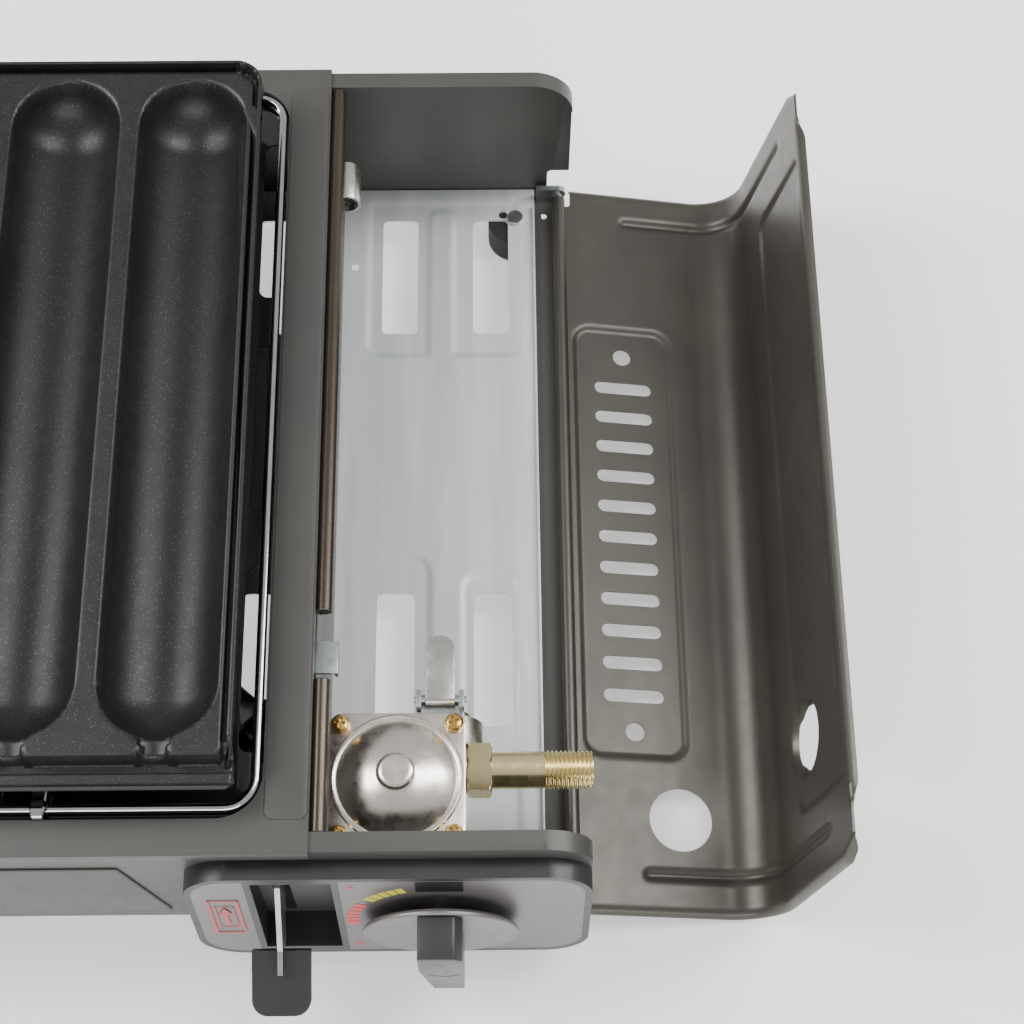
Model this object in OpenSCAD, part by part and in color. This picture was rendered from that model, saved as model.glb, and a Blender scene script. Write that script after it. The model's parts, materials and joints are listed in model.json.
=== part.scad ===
// Cassette gas stove with a sausage grill plate, a hinged cartridge cover and a screwed gas inlet.
// Local frame of every sub-part: X = 0 at the right side of the box and negative to the left,
// Y = 0 at the front of the box, Z = 0 on the upper face of the floor plate.
// place() moves the local frame so that the row origin is the bottom centre of the whole stove.

/* [Box] */
// Width of the box, left to right
body_w = 345; // [320:1:420]
// Depth of the box, front to back
body_d = 275; // [262:1:340]
// Height of the rim above the floor plate
rim_h = 70.5; // [68:0.5:90]
// Width of the flat rim flange
rim_w = 6; // [4:0.5:9]
// Radius of the box's upper corners and of the cover's bend
corner_r = 15; // [10:0.5:20]
// Thickness of the sheet steel
sheet = 0.8; // [0.6:0.1:1.2]
// Height of the rubber feet
foot_h = 14; // [13:0.5:24]
// Radius of the rubber feet
foot_r = 10; // [7:0.5:14]

/* [Top panel] */
// Width of the cartridge compartment, right side to the bridge
compartment_w = 84; // [82:0.5:100]
// Width of the flat bridge between the compartment and the burner opening
bridge_w = 13; // [10:0.5:20]
// Rail in front of the burner opening
rail_front = 10; // [9:0.5:20]
// Rail behind the burner opening
rail_back = 7; // [6.5:0.5:20]
// Rail left of the burner opening
rail_left = 23; // [18:0.5:40]
// Corner radius of the burner opening
opening_r = 14; // [8:0.5:20]
// Depth of the turned-down edges
skirt_h = 4; // [3:0.5:8]

/* [Cover] */
// Gap between the closed cover and the box
cover_gap = 0.4; // [0.3:0.1:1]
// Angle of the open cover
open_angle = 101; // [80:1:101]
// Height of the hinge rod above the floor plate
hinge_z = 3.6; // [3.2:0.1:6]
// Distance of the hinge rod from the right side of the box
hinge_in = 4; // [3.8:0.1:6]
// Radius of the hinge rod
rod_r = 1.5; // [1.2:0.1:2]
// Number of vent slots
slot_n = 11; // [5:1:12]
// Pitch of the vent slots
slot_pitch = 11.75; // [9:0.25:13]
// Length of a vent slot
slot_len = 21; // [14:0.5:26]
// Width of a vent slot
slot_w = 4.8; // [3:0.1:6]
// Radius of the hose holes
hose_hole_r = 10.7; // [8:0.1:13]

/* [Grill plate] */
// Number of sausage troughs
trough_n = 5; // [3:1:5]
// Pitch of the troughs
trough_pitch = 41.6; // [38:0.1:42]
// Width of a trough
trough_w = 34.8; // [28:0.2:36]
// Length of a trough
trough_len = 227.6; // [180:0.2:228]
// Thickness of the cast wall
cast_t = 2.8; // [2.4:0.1:3.4]
// Width of the grill plate
plate_w = 211.5; // [208:0.5:216]
// Depth of the grill plate's rim
plate_d = 244; // [242:0.5:246]
// Wire diameter of the plate support
wire_d = 3; // [2.4:0.1:4]

/* [Gas inlet] */
// Thread diameter of the brass inlet
thread_d = 12; // [9:0.5:14]
// Length of the thread
thread_len = 14.9; // [10:0.1:20]
// Diameter of the smooth neck
neck_d = 11.5; // [8:0.1:13]
// Length of the smooth neck
neck_len = 16.3; // [10:0.1:24]
// Width across the flats of the hex
hex_af = 15; // [12:0.5:17]
// Length of the hex
hex_len = 7.7; // [5:0.1:9]
// Height of the inlet above the floor plate
inlet_z = 42; // [38:0.5:44]

/* [Controls] */
// Diameter of the knob's dial
dial_d = 47.6; // [36:0.2:49]
// Height of the dial's centre above the floor plate
dial_z = 27; // [25:0.5:30]
// Width of the control panel
panel_w = 122; // [118:0.5:124]
// Height of the control panel
panel_h = 66; // [62:0.5:68]
// Thickness of the control panel at its top
panel_t = 6; // [5:0.5:8]
// Lean of the control panel's face
panel_lean = 5; // [0:0.5:6]
// Swing of the lock lever from locked to released
lever_swing = 38; // [20:1:40]

/* [Hidden] */
$fn = 96;

fit = 0.05;
gap = 0.3;

ground_z = -2 * sheet - foot_h;
over = gap + sheet;

inlet_y = 33.3;

// Cover, closed: inner face, outer face and the point of its lip
cover_in_x = cover_gap;
cover_out_x = cover_in_x + sheet;
cover_in_z = rim_h + cover_gap;
cover_out_z = cover_in_z + sheet;
cover_bend_r = corner_r + cover_gap + sheet;
cover_edge_x = -compartment_w + 5.2;
cover_foot_z = hinge_z + 5.6;
vent_mid_y = 133.5;
vent_mid_z = 27.3;
hose_y = inlet_y - 1.5;
hose_z = inlet_z - 0.5;
top_hole_x = -40.5;
top_hole_y = 48.6;
collar_h = 2.2;
lip_h = 2.2;
end_roll = 3;
curl_in_r = rod_r + fit;
curl_out_r = curl_in_r + 1;

// Where a point of the closed cover, (x, z), lies when the cover is open
function open_x(x, z) = -hinge_in + (x + hinge_in) * cos(open_angle) + (z - hinge_z) * sin(open_angle);
lip_x = open_x(cover_edge_x, cover_out_z + lip_h);
roll_x = open_x(cover_edge_x + end_roll, cover_out_z + end_roll);
bend_x = open_x(cover_out_x - cover_bend_r, cover_out_z - cover_bend_r) + cover_bend_r + end_roll;

// Burner opening and what is centred on it
opening_x1 = -(compartment_w + bridge_w);
opening_x0 = -body_w + rail_left;
opening_w = opening_x1 - opening_x0;
opening_d = body_d - rail_front - rail_back;
burner_x = (opening_x0 + opening_x1) / 2;
burner_y = rail_front + opening_d / 2;

// Overall box of the stove in its rest pose
lever_y = 8;
lever_z = 36;
paddle_len = 20;
paddle_w = 18;
paddle_t = 3.5;
paddle_drop = 24;
paddle_r = 5;
arm_reach = 35;
grip_reach = arm_reach + 8;
min_x = -body_w - sheet;
max_x = max(lip_x, roll_x, bend_x);
min_y = lever_y - (grip_reach + paddle_r) * cos(paddle_drop) - paddle_t / 2 * sin(paddle_drop);
max_y = body_d + over;

// Regulator
reg_w = 42;
reg_x0 = -79.7;
reg_y0 = 6.8;
reg_cover_z = 50;
reg_cover_t = 2;
dome_r = 18.7;
dome_h = 7.5;
boss_r = 5.5;
nozzle_x = -44.5;
nozzle_z = 36;
stem_x = -45.8;
stem_r = 3;
reg_cx = reg_x0 + reg_w / 2;
reg_cy = reg_y0 + reg_w / 2;
reg_y1 = reg_y0 + reg_w;
reg_screw_in = 3.6;
reg_screws = [for (x = [reg_x0 + reg_screw_in, reg_x0 + reg_w - reg_screw_in],
  y = [reg_y0 + reg_screw_in, reg_y1 - reg_screw_in]) [x, y]];
dome_sphere_r = (dome_r * dome_r + dome_h * dome_h) / (2 * dome_h);
inlet_x0 = reg_x0 + reg_w + 0.2;
core_r = 3.4;
latch_y = 53;
latch_z = reg_cover_z + 2;
latch_x = -45.6;
tab_w = 9;
tab_len = 19;

// Gas line to the burner
jet_x = -95;
jet_y = 36;
jet_z = 42;
tube_r = 10;
tube_wall = 1;
tube_start = 14;
burner_r = 34;
burner_hole_r = 46;
bracket_z = 29;
tube_dir = atan2(burner_y - jet_y, burner_x - jet_x);
tube_end = norm([burner_x - jet_x, burner_y - jet_y]) - burner_r + 6;
pipe_r = 4;
pipe_y = jet_y + 3;

// Levels of what lies over the burner opening
tray_flange_z = rim_h - 2.8;
tray_depth = 11;
tray_ledge = 5;
wire_in = 2.2;
wire_in_y = 3.6;
loop_x0 = opening_x0 + wire_in;
loop_x1 = opening_x1 - wire_in;
loop_y0 = rail_front + wire_in_y;
loop_y1 = rail_front + opening_d - wire_in_y;
cross_r = wire_d / 2 - 0.2;
cross_off = 6;
cross_wire_x = [for (s = [-1, 1], t = [-1, 1]) burner_x + s * trough_pitch + t * cross_off];
wire_z = tray_flange_z + sheet + gap + wire_d / 2;
trough_out_r = trough_w / 2 + cast_t;
trough_z = wire_z + sqrt(pow(trough_out_r + cross_r + gap, 2) - cross_off * cross_off);
gutter_d = 5.5;
gutter_h = 7;
plate_z = trough_z + 1;
plate_rim = 2.4;
gutter_z = plate_z - gutter_h - cast_t;
plate_y0 = rail_front + 10;
trough_y0 = plate_y0 + 8.3;
plate_x0 = burner_x - plate_w / 2;

// Control panel
panel_x0 = -panel_w;
panel_z0 = -4;
panel_r = 14;
label_t = 0.6;
panel_skin = 2.6;
slot_x0 = -101.3;
slot_x1 = -77.5;
slot_z0 = 2;
slot_z1 = 58;
lever_x = -94.5;
arm_t = 1.6;
label_gap = 2.2;
face_y = -panel_t - panel_h * tan(panel_lean);
panel_screw_x = [panel_x0 + 10, -66];
panel_screw_z = 12;
knob_t = 2.2;
bar_w = 13.5;
bar_out = 13;
bar_top = 22;
bar_bottom = 13;
knob_front = face_y + (dial_z - panel_z0 - dial_d / 2) * tan(panel_lean) - knob_t - 0.5;

// Divider wall
wall_x = -compartment_w;
bead_r = 2.6;
bead_z = rim_h - bead_r - 0.5;
hook_y0 = 56.5;
hook_y1 = 67;
slide_travel = 8;
window_y0 = hook_y0 - 2.5;
window_y1 = hook_y1 + slide_travel + 1;
hook_z = rim_h - 4;
slide_z = rim_h - 12;
slide_y1 = 87;
ear_y = lever_y + 4 + gap;
ear_z = lever_z + 7;
lead_y = 16.2;
lead_z = 9;
spark_x = burner_x + 38;
spark_y = burner_y - 12;
spark_z = 36;
lead_route = [[reg_x0 - 2.5, lead_y, lead_z], [-100, lead_y, lead_z], [-130, 50, 8], [-160, 92, 20],
  [spark_x, spark_y, 26], [spark_x, spark_y, spark_z]];

// Floor plate
floor_x1 = -12.8;
vent_w = 13;
vent_len = 48.2;
vent_pitch = 33.2;
vent_y = [62.3, 212.4];
vent_x = concat([-22.7, -22.7 - vent_pitch], [for (i = [0:6]) -101.5 - i * vent_pitch]);
bottom_flange = 9;
foot_in = 20;
foot_in_y = 14;
foot_spots = [for (x = [-foot_in, -body_w + foot_in], y = [foot_in_y, body_d - foot_in_y]) [x, y]];

module place() {
  translate([-(min_x + max_x) / 2, -(min_y + max_y) / 2, -ground_z]) children();
}

// Rectangle with round corners
module round_rect(w, d, r) {
  translate([r, 0]) square([w - 2 * r, d]);
  translate([0, r]) square([w, d - 2 * r]);
  for (x = [r, w - r], y = [r, d - r]) translate([x, y]) circle(r);
}

module round_plate(pos, w, d, r, h) {
  translate(pos) linear_extrude(h) round_rect(w, d, r);
}

module box(x0, x1, y0, y1, z0, z1) {
  translate([x0, y0, z0]) cube([x1 - x0, y1 - y0, z1 - z0]);
}

// A flat shape drawn in X and Z, as thick as y0 to y1
module along_y(y0, y1) {
  translate([0, y1, 0]) rotate([90, 0, 0]) linear_extrude(y1 - y0) children();
}

// A flat shape drawn in Y and Z, as thick as x0 to x1
module along_x(x0, x1) {
  translate([x0, 0, 0]) rotate([90, 0, 90]) linear_extrude(x1 - x0) children();
}

module rod(from, to, r) {
  way = to - from;
  turn = atan2(way[1], way[0]);
  lift = acos(way[2] / norm(way));
  translate(from) rotate([0, lift, turn]) cylinder(h = norm(way), r = r);
}

// Stadium slot, centred, long along its first axis
module slot(length, width) {
  square([length - width, width], center = true);
  for (s = [-1, 1]) translate([s * (length - width) / 2, 0]) circle(width / 2);
}

// Outline of the box seen from the front, with its round upper corners, inset by t
module box_outline(t) {
  x0 = -body_w + t;
  z0 = -2 * sheet;
  z1 = rim_h - t;
  r = corner_r - t;
  translate([x0, z0]) square([body_w - 2 * t, z1 - r - z0]);
  translate([x0 + r, z1 - r - 1]) square([body_w - 2 * t - 2 * r, r + 1]);
  for (x = [x0 + r, -t - r]) translate([x, z1 - r]) circle(r);
}

module wall_notches() {
  notch_x = -8;
  notch_z = 12;
  notch_r = 2;
  for (y = [-1, body_d - sheet - 1]) {
    box(notch_x, 1, y, y + sheet + 2, -3 * sheet, notch_z - notch_r);
    box(notch_x + notch_r, 1, y, y + sheet + 2, -3 * sheet, notch_z);
    translate([notch_x + notch_r, y, notch_z - notch_r]) rotate([-90, 0, 0]) cylinder(h = sheet + 2, r = notch_r);
  }
}

module body_shell() place() color("#5c5b58") difference() {
  union() {
    // front and back walls
    along_y(0, sheet) box_outline(0);
    along_y(body_d - sheet, body_d) box_outline(0);
    // rim flanges that follow the walls' outline
    for (y = [0, body_d - rim_w]) along_y(y, y + rim_w) difference() {
      box_outline(0);
      box_outline(sheet);
      translate([-body_w - 1, -3 * sheet]) square([body_w + 2, rim_h - corner_r + 3 * sheet]);
    }
    // left wall
    along_y(0, body_d) intersection() {
      difference() {
        box_outline(0);
        box_outline(sheet);
      }
      translate([-body_w - 1, -3 * sheet]) square([corner_r + 1, rim_h + 4 * sheet]);
    }
    // turned-in bottom flange that carries the floor plate
    difference() {
      box(-body_w, 0, 0, body_d, -2 * sheet, -sheet);
      box(-body_w + bottom_flange, -16, bottom_flange, body_d - bottom_flange, -3 * sheet, 0);
      box(-hinge_in - 1.4, 1, -1, body_d + 1, -3 * sheet, 0);
      for (y = [9.5, body_d - 12.5]) translate([-9.4, y, -3 * sheet]) cylinder(h = 3 * sheet, r = 1.3);
    }
  }
  wall_notches();
  // clearance for the valve stem and the lever
  translate([stem_x, -1, dial_z]) rotate([-90, 0, 0]) cylinder(h = sheet + 2, r = stem_r + 1.5);
  box(lever_x - 2.6, lever_x + 2.6, -1, sheet + 1, slot_z0 + 4, slot_z1 + 3);
  for (x = panel_screw_x) translate([x, -1, panel_screw_z]) rotate([-90, 0, 0]) cylinder(h = sheet + 2, r = 1.6);
}

module top_panel() place() color("#5f5e5b") {
  x1 = wall_x + sheet;
  low_z = rim_h - corner_r - skirt_h;
  difference() {
    union() {
      // sheet that wraps over the box's left corner
      along_y(-over, body_d + over) intersection() {
        difference() {
          box_outline(-sheet);
          box_outline(0);
        }
        translate([-body_w - over, low_z]) square([x1 + body_w + over, rim_h + over - low_z]);
      }
      // turned-down front and back edges
      for (y = [-over, body_d + gap]) box(-body_w + corner_r, x1, y, y + sheet, rim_h - skirt_h, rim_h + sheet);
      // turned-down edge of the burner opening
      round_plate([opening_x0 - sheet, rail_front - sheet, tray_flange_z - sheet], opening_w + 2 * sheet,
        opening_d + 2 * sheet, opening_r + sheet, rim_h - tray_flange_z + sheet);
    }
    round_plate([opening_x0, rail_front, low_z], opening_w, opening_d, opening_r, corner_r + skirt_h + over);
  }
  // ledges that the drip tray rests on
  ledge_z = tray_flange_z - sheet;
  for (y = [rail_front - sheet, rail_front + opening_d - tray_ledge]) {
    box(opening_x0 + opening_r, opening_x1 - opening_r, y, y + tray_ledge + sheet, ledge_z, tray_flange_z);
  }
}

module divider_wall() place() color("#56524b") {
  y0 = rim_w + gap;
  y1 = body_d - rim_w - gap;
  difference() {
    union() {
      box(wall_x, wall_x + sheet, y0, y1, 0, rim_h);
      box(wall_x - 8, wall_x + sheet, y0, y1, 0, sheet);
      // rolled bead that the closed cover's edge rests over
      translate([wall_x + sheet + bead_r - 0.3, y1, bead_z]) rotate([90, 0, 0]) difference() {
        cylinder(h = y1 - y0, r = bead_r);
        translate([0, 0, -1]) cylinder(h = y1 - y0 + 2, r = bead_r - sheet);
        translate([-0.6, -bead_r - 1, -1]) cube([bead_r + 2, bead_r + 1, y1 - y0 + 2]);
      }
    }
    // window for the lock hook, through the wall and the bead
    box(wall_x - 1, wall_x + sheet + 1, window_y0, window_y1, hook_z - 4, hook_z + 1.5);
    box(wall_x + sheet, wall_x + 2 * bead_r + 2, window_y0, window_y1, hook_z - 4, rim_h + 1);
    // way through for the gas pipe and the ignition lead
    translate([wall_x - 1, pipe_y, jet_z]) rotate([0, 90, 0]) cylinder(h = 4, r = pipe_r + 1);
    translate([wall_x - 1, lead_y, lead_z]) rotate([0, 90, 0]) cylinder(h = 4, r = 3);
  }
}

module floor_plate() place() color("#b9bfc0") difference() {
  union() {
    box(-body_w + sheet + gap, floor_x1, sheet + gap, body_d - sheet - gap, -sheet, 0);
    box(floor_x1 - sheet, floor_x1, sheet + gap + 8, body_d - sheet - gap - 8, 0, 2);
  }
  for (x = vent_x, y = vent_y) {
    if (x - vent_w > -body_w + foot_in + foot_r) {
      round_plate([x - vent_w, y, -sheet - 1], vent_w, vent_len, 1.2, sheet + 2);
    }
  }
  for (p = foot_spots) translate([p[0], p[1], -sheet - 1]) cylinder(h = sheet + 2, r = 1.8);
}

module feet() place() color("#1d1d1d") for (p = foot_spots) {
  translate([p[0], p[1], ground_z]) difference() {
    rotate_extrude() polygon([[0, 0], [foot_r - 1.5, 0], [foot_r, 2], [foot_r, foot_h], [0, foot_h]]);
    translate([0, 0, -1]) cylinder(h = 6, r = 3.6);
    translate([0, 0, 4]) cylinder(h = foot_h, r = 1.6);
  }
}

module foot_screws() place() color("#c9c9c4") for (p = foot_spots) translate([p[0], p[1], 0]) {
  cylinder(h = 1.4, r = 2.8);
  translate([0, 0, -8]) cylinder(h = 8.5, r = 1.5);
}

module hinge_rod() place() color("#a8aaab") {
  translate([-hinge_in, 3.2, hinge_z]) rotate([-90, 0, 0]) cylinder(h = body_d - 6.4, r = rod_r);
}

module hinge_brackets() place() color("#a2a6a7") for (y = [3.8, body_d - 5.8]) {
  difference() {
    union() {
      box(-12, -hinge_in, y, y + 2, -sheet, hinge_z + 2.8);
      translate([-hinge_in, y, hinge_z]) rotate([-90, 0, 0]) cylinder(h = 2, r = 2.8);
    }
    translate([-hinge_in, y - 1, hinge_z]) rotate([-90, 0, 0]) cylinder(h = 4, r = rod_r);
    box(-hinge_in - 1.4, 1, y - 1, y + 3, -2 * sheet, 0);
  }
}

module cover_profile(t) {
  // side, bend and top of the closed cover; t is the sheet's thickness
  translate([cover_out_x - t, cover_foot_z]) square([t, cover_out_z - cover_bend_r - cover_foot_z]);
  translate([cover_edge_x, cover_out_z - t]) square([cover_out_x - cover_bend_r - cover_edge_x, t]);
  intersection() {
    difference() {
      translate([cover_out_x - cover_bend_r, cover_out_z - cover_bend_r]) circle(cover_bend_r);
      translate([cover_out_x - cover_bend_r, cover_out_z - cover_bend_r]) circle(cover_bend_r - t);
    }
    translate([cover_out_x - cover_bend_r, cover_out_z - cover_bend_r]) square(cover_bend_r);
  }
}

module cover_hinge_profile() {
  // joggle from the side down to the curl round the hinge rod
  difference() {
    union() {
      translate([-hinge_in, hinge_z]) circle(curl_out_r);
      translate([-hinge_in, hinge_z + curl_in_r]) square([hinge_in + cover_out_x, curl_out_r - curl_in_r]);
      translate([cover_in_x, hinge_z + curl_in_r]) square([sheet, cover_foot_z - hinge_z - curl_in_r + 0.2]);
    }
    translate([-hinge_in, hinge_z]) circle(curl_in_r);
  }
}

// Area under the closed cover's outline moved out by t, right of x0 and above z0
module cover_area(t, x0, z0) {
  bend_x0 = cover_out_x - cover_bend_r;
  bend_z0 = cover_out_z - cover_bend_r;
  translate([x0, z0]) square([bend_x0 - x0, cover_out_z + t - z0]);
  translate([bend_x0 - 1, z0]) square([cover_bend_r + t + 1, bend_z0 - z0]);
  translate([bend_x0, bend_z0]) circle(cover_bend_r + t);
}

module end_profile() difference() {
  cover_area(end_roll, cover_edge_x + end_roll, cover_foot_z);
  cover_area(-sheet, cover_edge_x - 1, cover_foot_z - 1);
}

module cover_closed() difference() {
  union() {
    along_y(0, body_d) cover_profile(sheet);
    along_y(8, body_d - 8) cover_hinge_profile();
    // raised lip along the free edge
    box(cover_edge_x, cover_edge_x + sheet, 8, body_d - 8, cover_out_z - sheet, cover_out_z + lip_h);
    // turned-out edges at the two ends
    for (y = [0, body_d - sheet]) along_y(y, y + sheet) end_profile();
  }
  // vent slots and the two rivet holes in their column
  for (i = [0:slot_n - 1]) translate([-5, vent_mid_y + (i - (slot_n - 1) / 2) * slot_pitch, vent_mid_z]) {
    rotate([0, 90, 0]) linear_extrude(10) slot(slot_len, slot_w);
  }
  for (s = [-1, 1]) translate([-5, vent_mid_y + s * ((slot_n - 1) / 2 * slot_pitch + 12.8), vent_mid_z]) {
    rotate([0, 90, 0]) cylinder(h = 10, r = 3.3);
  }
  // hose holes in the side and in the top
  translate([-5, hose_y, hose_z]) rotate([0, 90, 0]) cylinder(h = 10, r = hose_hole_r);
  translate([top_hole_x, top_hole_y, cover_in_z - 5]) cylinder(h = 12, r = hose_hole_r);
}

module cover() place() color("#5b554c") {
  translate([-hinge_in, 0, hinge_z]) rotate([0, open_angle, 0]) translate([hinge_in, 0, -hinge_z]) {
    cover_closed();
    // raised collar round the upper hose hole
    translate([top_hole_x, top_hole_y, cover_out_z - sheet]) difference() {
      cylinder(h = collar_h + sheet, r = hose_hole_r + sheet);
      translate([0, 0, -1]) cylinder(h = collar_h + sheet + 2, r = hose_hole_r);
    }
  }
}

// Burner and what surrounds it

module drip_tray() place() color("#141516") {
  t = sheet;
  x0 = opening_x0 + 1;
  y0 = rail_front + 1;
  w = opening_w - 2;
  d = opening_d - 2;
  in = 9;
  difference() {
    union() {
      round_plate([x0, y0, tray_flange_z], w, d, opening_r - 1, t);
      round_plate([x0 + in, y0 + in, tray_flange_z - tray_depth], w - 2 * in, d - 2 * in, opening_r, tray_depth + t);
    }
    round_plate([x0 + in + t, y0 + in + t, tray_flange_z - tray_depth + t], w - 2 * in - 2 * t, d - 2 * in - 2 * t,
      opening_r - t, tray_depth + 1);
    translate([burner_x, burner_y, 0]) cylinder(h = rim_h, r = burner_hole_r);
    // air inlets through the flange, left and right
    for (side = [0, 1], y = [burner_y - 108, burner_y - 30, burner_y + 48]) {
      x = side == 0 ? x0 - 1 : x0 + w - in + 2;
      round_plate([x, y, tray_flange_z - 1], in - 1, 60, 3, t + 2);
    }
  }
}

// Along the mixing tube's axis, from inside the burner outwards
module to_tube() rotate([0, 0, tube_dir + 180]) translate([burner_r - 14, 0, jet_z]) rotate([0, 90, 0]) children();

module burner_base() place() color("#8d8f8f") translate([burner_x, burner_y, 0]) difference() {
  union() {
    translate([0, 0, bracket_z]) cylinder(h = 4, r = 9);
    translate([0, 0, 31]) cylinder(h = 20, r = burner_r - 6);
    translate([0, 0, 50]) cylinder(h = 6, r = burner_r);
    to_tube() cylinder(h = 12, r = tube_r + 1.5);
  }
  translate([0, 0, 33]) cylinder(h = 30, r = burner_r - 9);
  to_tube() translate([0, 0, -10]) cylinder(h = 30, r = tube_r + fit);
}

module burner_ring() place() color("#8a8378") translate([burner_x, burner_y, 56]) difference() {
  cylinder(h = 6, r = burner_r - 1);
  translate([0, 0, -1]) cylinder(h = 8, r = burner_r - 8);
  for (a = [0:10:350]) rotate([0, 0, a]) translate([burner_r - 10, -0.8, 2]) cube([12, 1.6, 5]);
}

module burner_cap() place() color("#3b3a38") translate([burner_x, burner_y, 62]) {
  rotate_extrude() polygon([[0, 0], [burner_r, 0], [burner_r, 1.5], [burner_r - 6, 3], [0, 3.6]]);
  difference() {
    translate([0, 0, -3]) cylinder(h = 3, r = burner_r - 8.3);
    translate([0, 0, -4]) cylinder(h = 4, r = burner_r - 10.3);
  }
}

module along_tube() translate([jet_x, jet_y, jet_z]) rotate([0, 0, tube_dir]) rotate([0, 90, 0]) children();

module mixing_tube() place() color("#9a9d9d") along_tube() difference() {
  union() {
    translate([0, 0, tube_start]) cylinder(h = tube_end - tube_start, r = tube_r);
    translate([0, 0, tube_start]) cylinder(h = 3, r = tube_r + 2);
  }
  translate([0, 0, tube_start - 1]) cylinder(h = tube_end - tube_start + 2, r = tube_r - tube_wall);
}

module gas_jet() place() color("#c9a24b") along_tube() difference() {
  union() {
    translate([0, 0, 4]) cylinder(h = 6, r = 4, $fn = 6);
    translate([0, 0, 4]) cylinder(h = 14, r = 2.6);
  }
  translate([0, 0, 3]) cylinder(h = 14, r = 1.2);
  translate([0, 0, 3]) cylinder(h = 20, r = 0.4);
}

module jet_holder() place() color("#8d8f8f") difference() {
  union() {
    box(jet_x - 4, wall_x - gap, jet_y - 9, jet_y + 12, jet_z - 9, jet_z + 7);
    box(jet_x + 2, wall_x - gap, jet_y - 9, jet_y + 12, sheet, jet_z);
  }
  along_tube() translate([0, 0, 4]) cylinder(h = 40, r = 12);
  translate([jet_x + 7, pipe_y, jet_z]) rotate([0, 90, 0]) cylinder(h = 10, r = pipe_r);
}

module gas_pipe() place() color("#b08d4a") difference() {
  translate([jet_x + 7, pipe_y, jet_z]) rotate([0, 90, 0]) cylinder(h = reg_x0 + 5 - jet_x - 7, r = pipe_r);
  translate([jet_x + 6, pipe_y, jet_z]) rotate([0, 90, 0]) cylinder(h = reg_x0 + 7 - jet_x - 6, r = pipe_r - 1.2);
}

module burner_bracket() place() color("#a2a6a7") difference() {
  union() {
    box(burner_x - 12, burner_x + 12, burner_y - 50, burner_y + 50, 0, 1.5);
    for (s = [-1, 1]) box(burner_x - 12, burner_x + 12, burner_y + s * 24 - 1, burner_y + s * 24 + 1, 0, bracket_z);
    box(burner_x - 12, burner_x + 12, burner_y - 25, burner_y + 25, bracket_z - 2, bracket_z);
  }
  translate([burner_x, burner_y, bracket_z - 3]) cylinder(h = 6, r = 3);
}

module igniter() place() color("#2a2b2c") {
  box(reg_x0 - 2.5, reg_x0 + 14, 10, 30, 0, 12);
  translate([reg_x0 + 14, 20, 6]) rotate([0, 90, 0]) cylinder(h = 7, r = 4);
}

module ignition_lead() place() color("#202020") {
  for (i = [0:len(lead_route) - 2]) rod(lead_route[i], lead_route[i + 1], 1.4);
  for (i = [1:len(lead_route) - 2]) translate(lead_route[i]) sphere(1.4);
}

module electrode_insulator() place() color("#e8e4da") translate([spark_x, spark_y, spark_z]) difference() {
  cylinder(h = 20, r = 3);
  translate([0, 0, 1]) cylinder(h = 20, r = 1);
}

module electrode_rod() place() color("#9b9b98") {
  translate([spark_x, spark_y, spark_z + 1]) cylinder(h = 26, r = 1);
  rod([spark_x, spark_y, spark_z + 26], [burner_x + 35.5, burner_y - 11.2, spark_z + 25], 0.9);
}

// Regulator, cartridge nozzle and gas inlet

module regulator_body() place() color("#a9aaa6") difference() {
  union() {
    round_plate([reg_x0 + 2, reg_y0 + 2, 34], reg_w - 4, reg_w - 4, 5, reg_cover_z - 34);
    round_plate([stem_x - 12, reg_y0 + 2, 0], 18, reg_w - 8, 3, 35);
    // seat of the cartridge nozzle
    translate([nozzle_x, reg_y1 - 8, nozzle_z]) rotate([-90, 0, 0]) cylinder(h = 9, r = 12);
    // seat of the inlet
    translate([reg_x0 + reg_w - 8, inlet_y, inlet_z]) rotate([0, 90, 0]) cylinder(h = 8.2, r = 7.2);
  }
  translate([stem_x, reg_y0, dial_z]) rotate([-90, 0, 0]) cylinder(h = 18, r = stem_r + fit);
  translate([nozzle_x, reg_y1 - 6, nozzle_z]) rotate([-90, 0, 0]) cylinder(h = 10, r = 6);
  translate([reg_x0 - 1, pipe_y, jet_z]) rotate([0, 90, 0]) cylinder(h = 10, r = pipe_r);
  translate([reg_x0 + reg_w - 6, inlet_y, inlet_z]) rotate([0, 90, 0]) cylinder(h = 10, r = core_r);
  for (p = reg_screws) translate([p[0], p[1], reg_cover_z - 6]) cylinder(h = 8, r = 1.4);
}

module regulator_cover() place() color("#b3aca4") difference() {
  union() {
    round_plate([reg_x0, reg_y0, reg_cover_z], reg_w, reg_w, 4, reg_cover_t);
    translate([reg_cx, reg_cy, reg_cover_z + reg_cover_t]) intersection() {
      translate([0, 0, dome_h - dome_sphere_r]) sphere(dome_sphere_r);
      cylinder(h = dome_h, r = dome_r);
    }
    translate([reg_cx, reg_cy, reg_cover_z]) cylinder(h = reg_cover_t + dome_h + 1, r = boss_r);
  }
  for (p = reg_screws) translate([p[0], p[1], reg_cover_z - 1]) cylinder(h = 5, r = 1.7);
}

module regulator_screws() place() color("#caa75a") for (p = reg_screws) translate([p[0], p[1], reg_cover_z]) {
  translate([0, 0, -5]) cylinder(h = 7.2, r = 1.4);
  difference() {
    translate([0, 0, reg_cover_t]) cylinder(h = 2.2, r = 2.9);
    for (a = [0, 90]) rotate([0, 0, a]) translate([-1.7, -0.4, reg_cover_t + 1.2]) cube([3.4, 0.8, 2]);
  }
}

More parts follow.
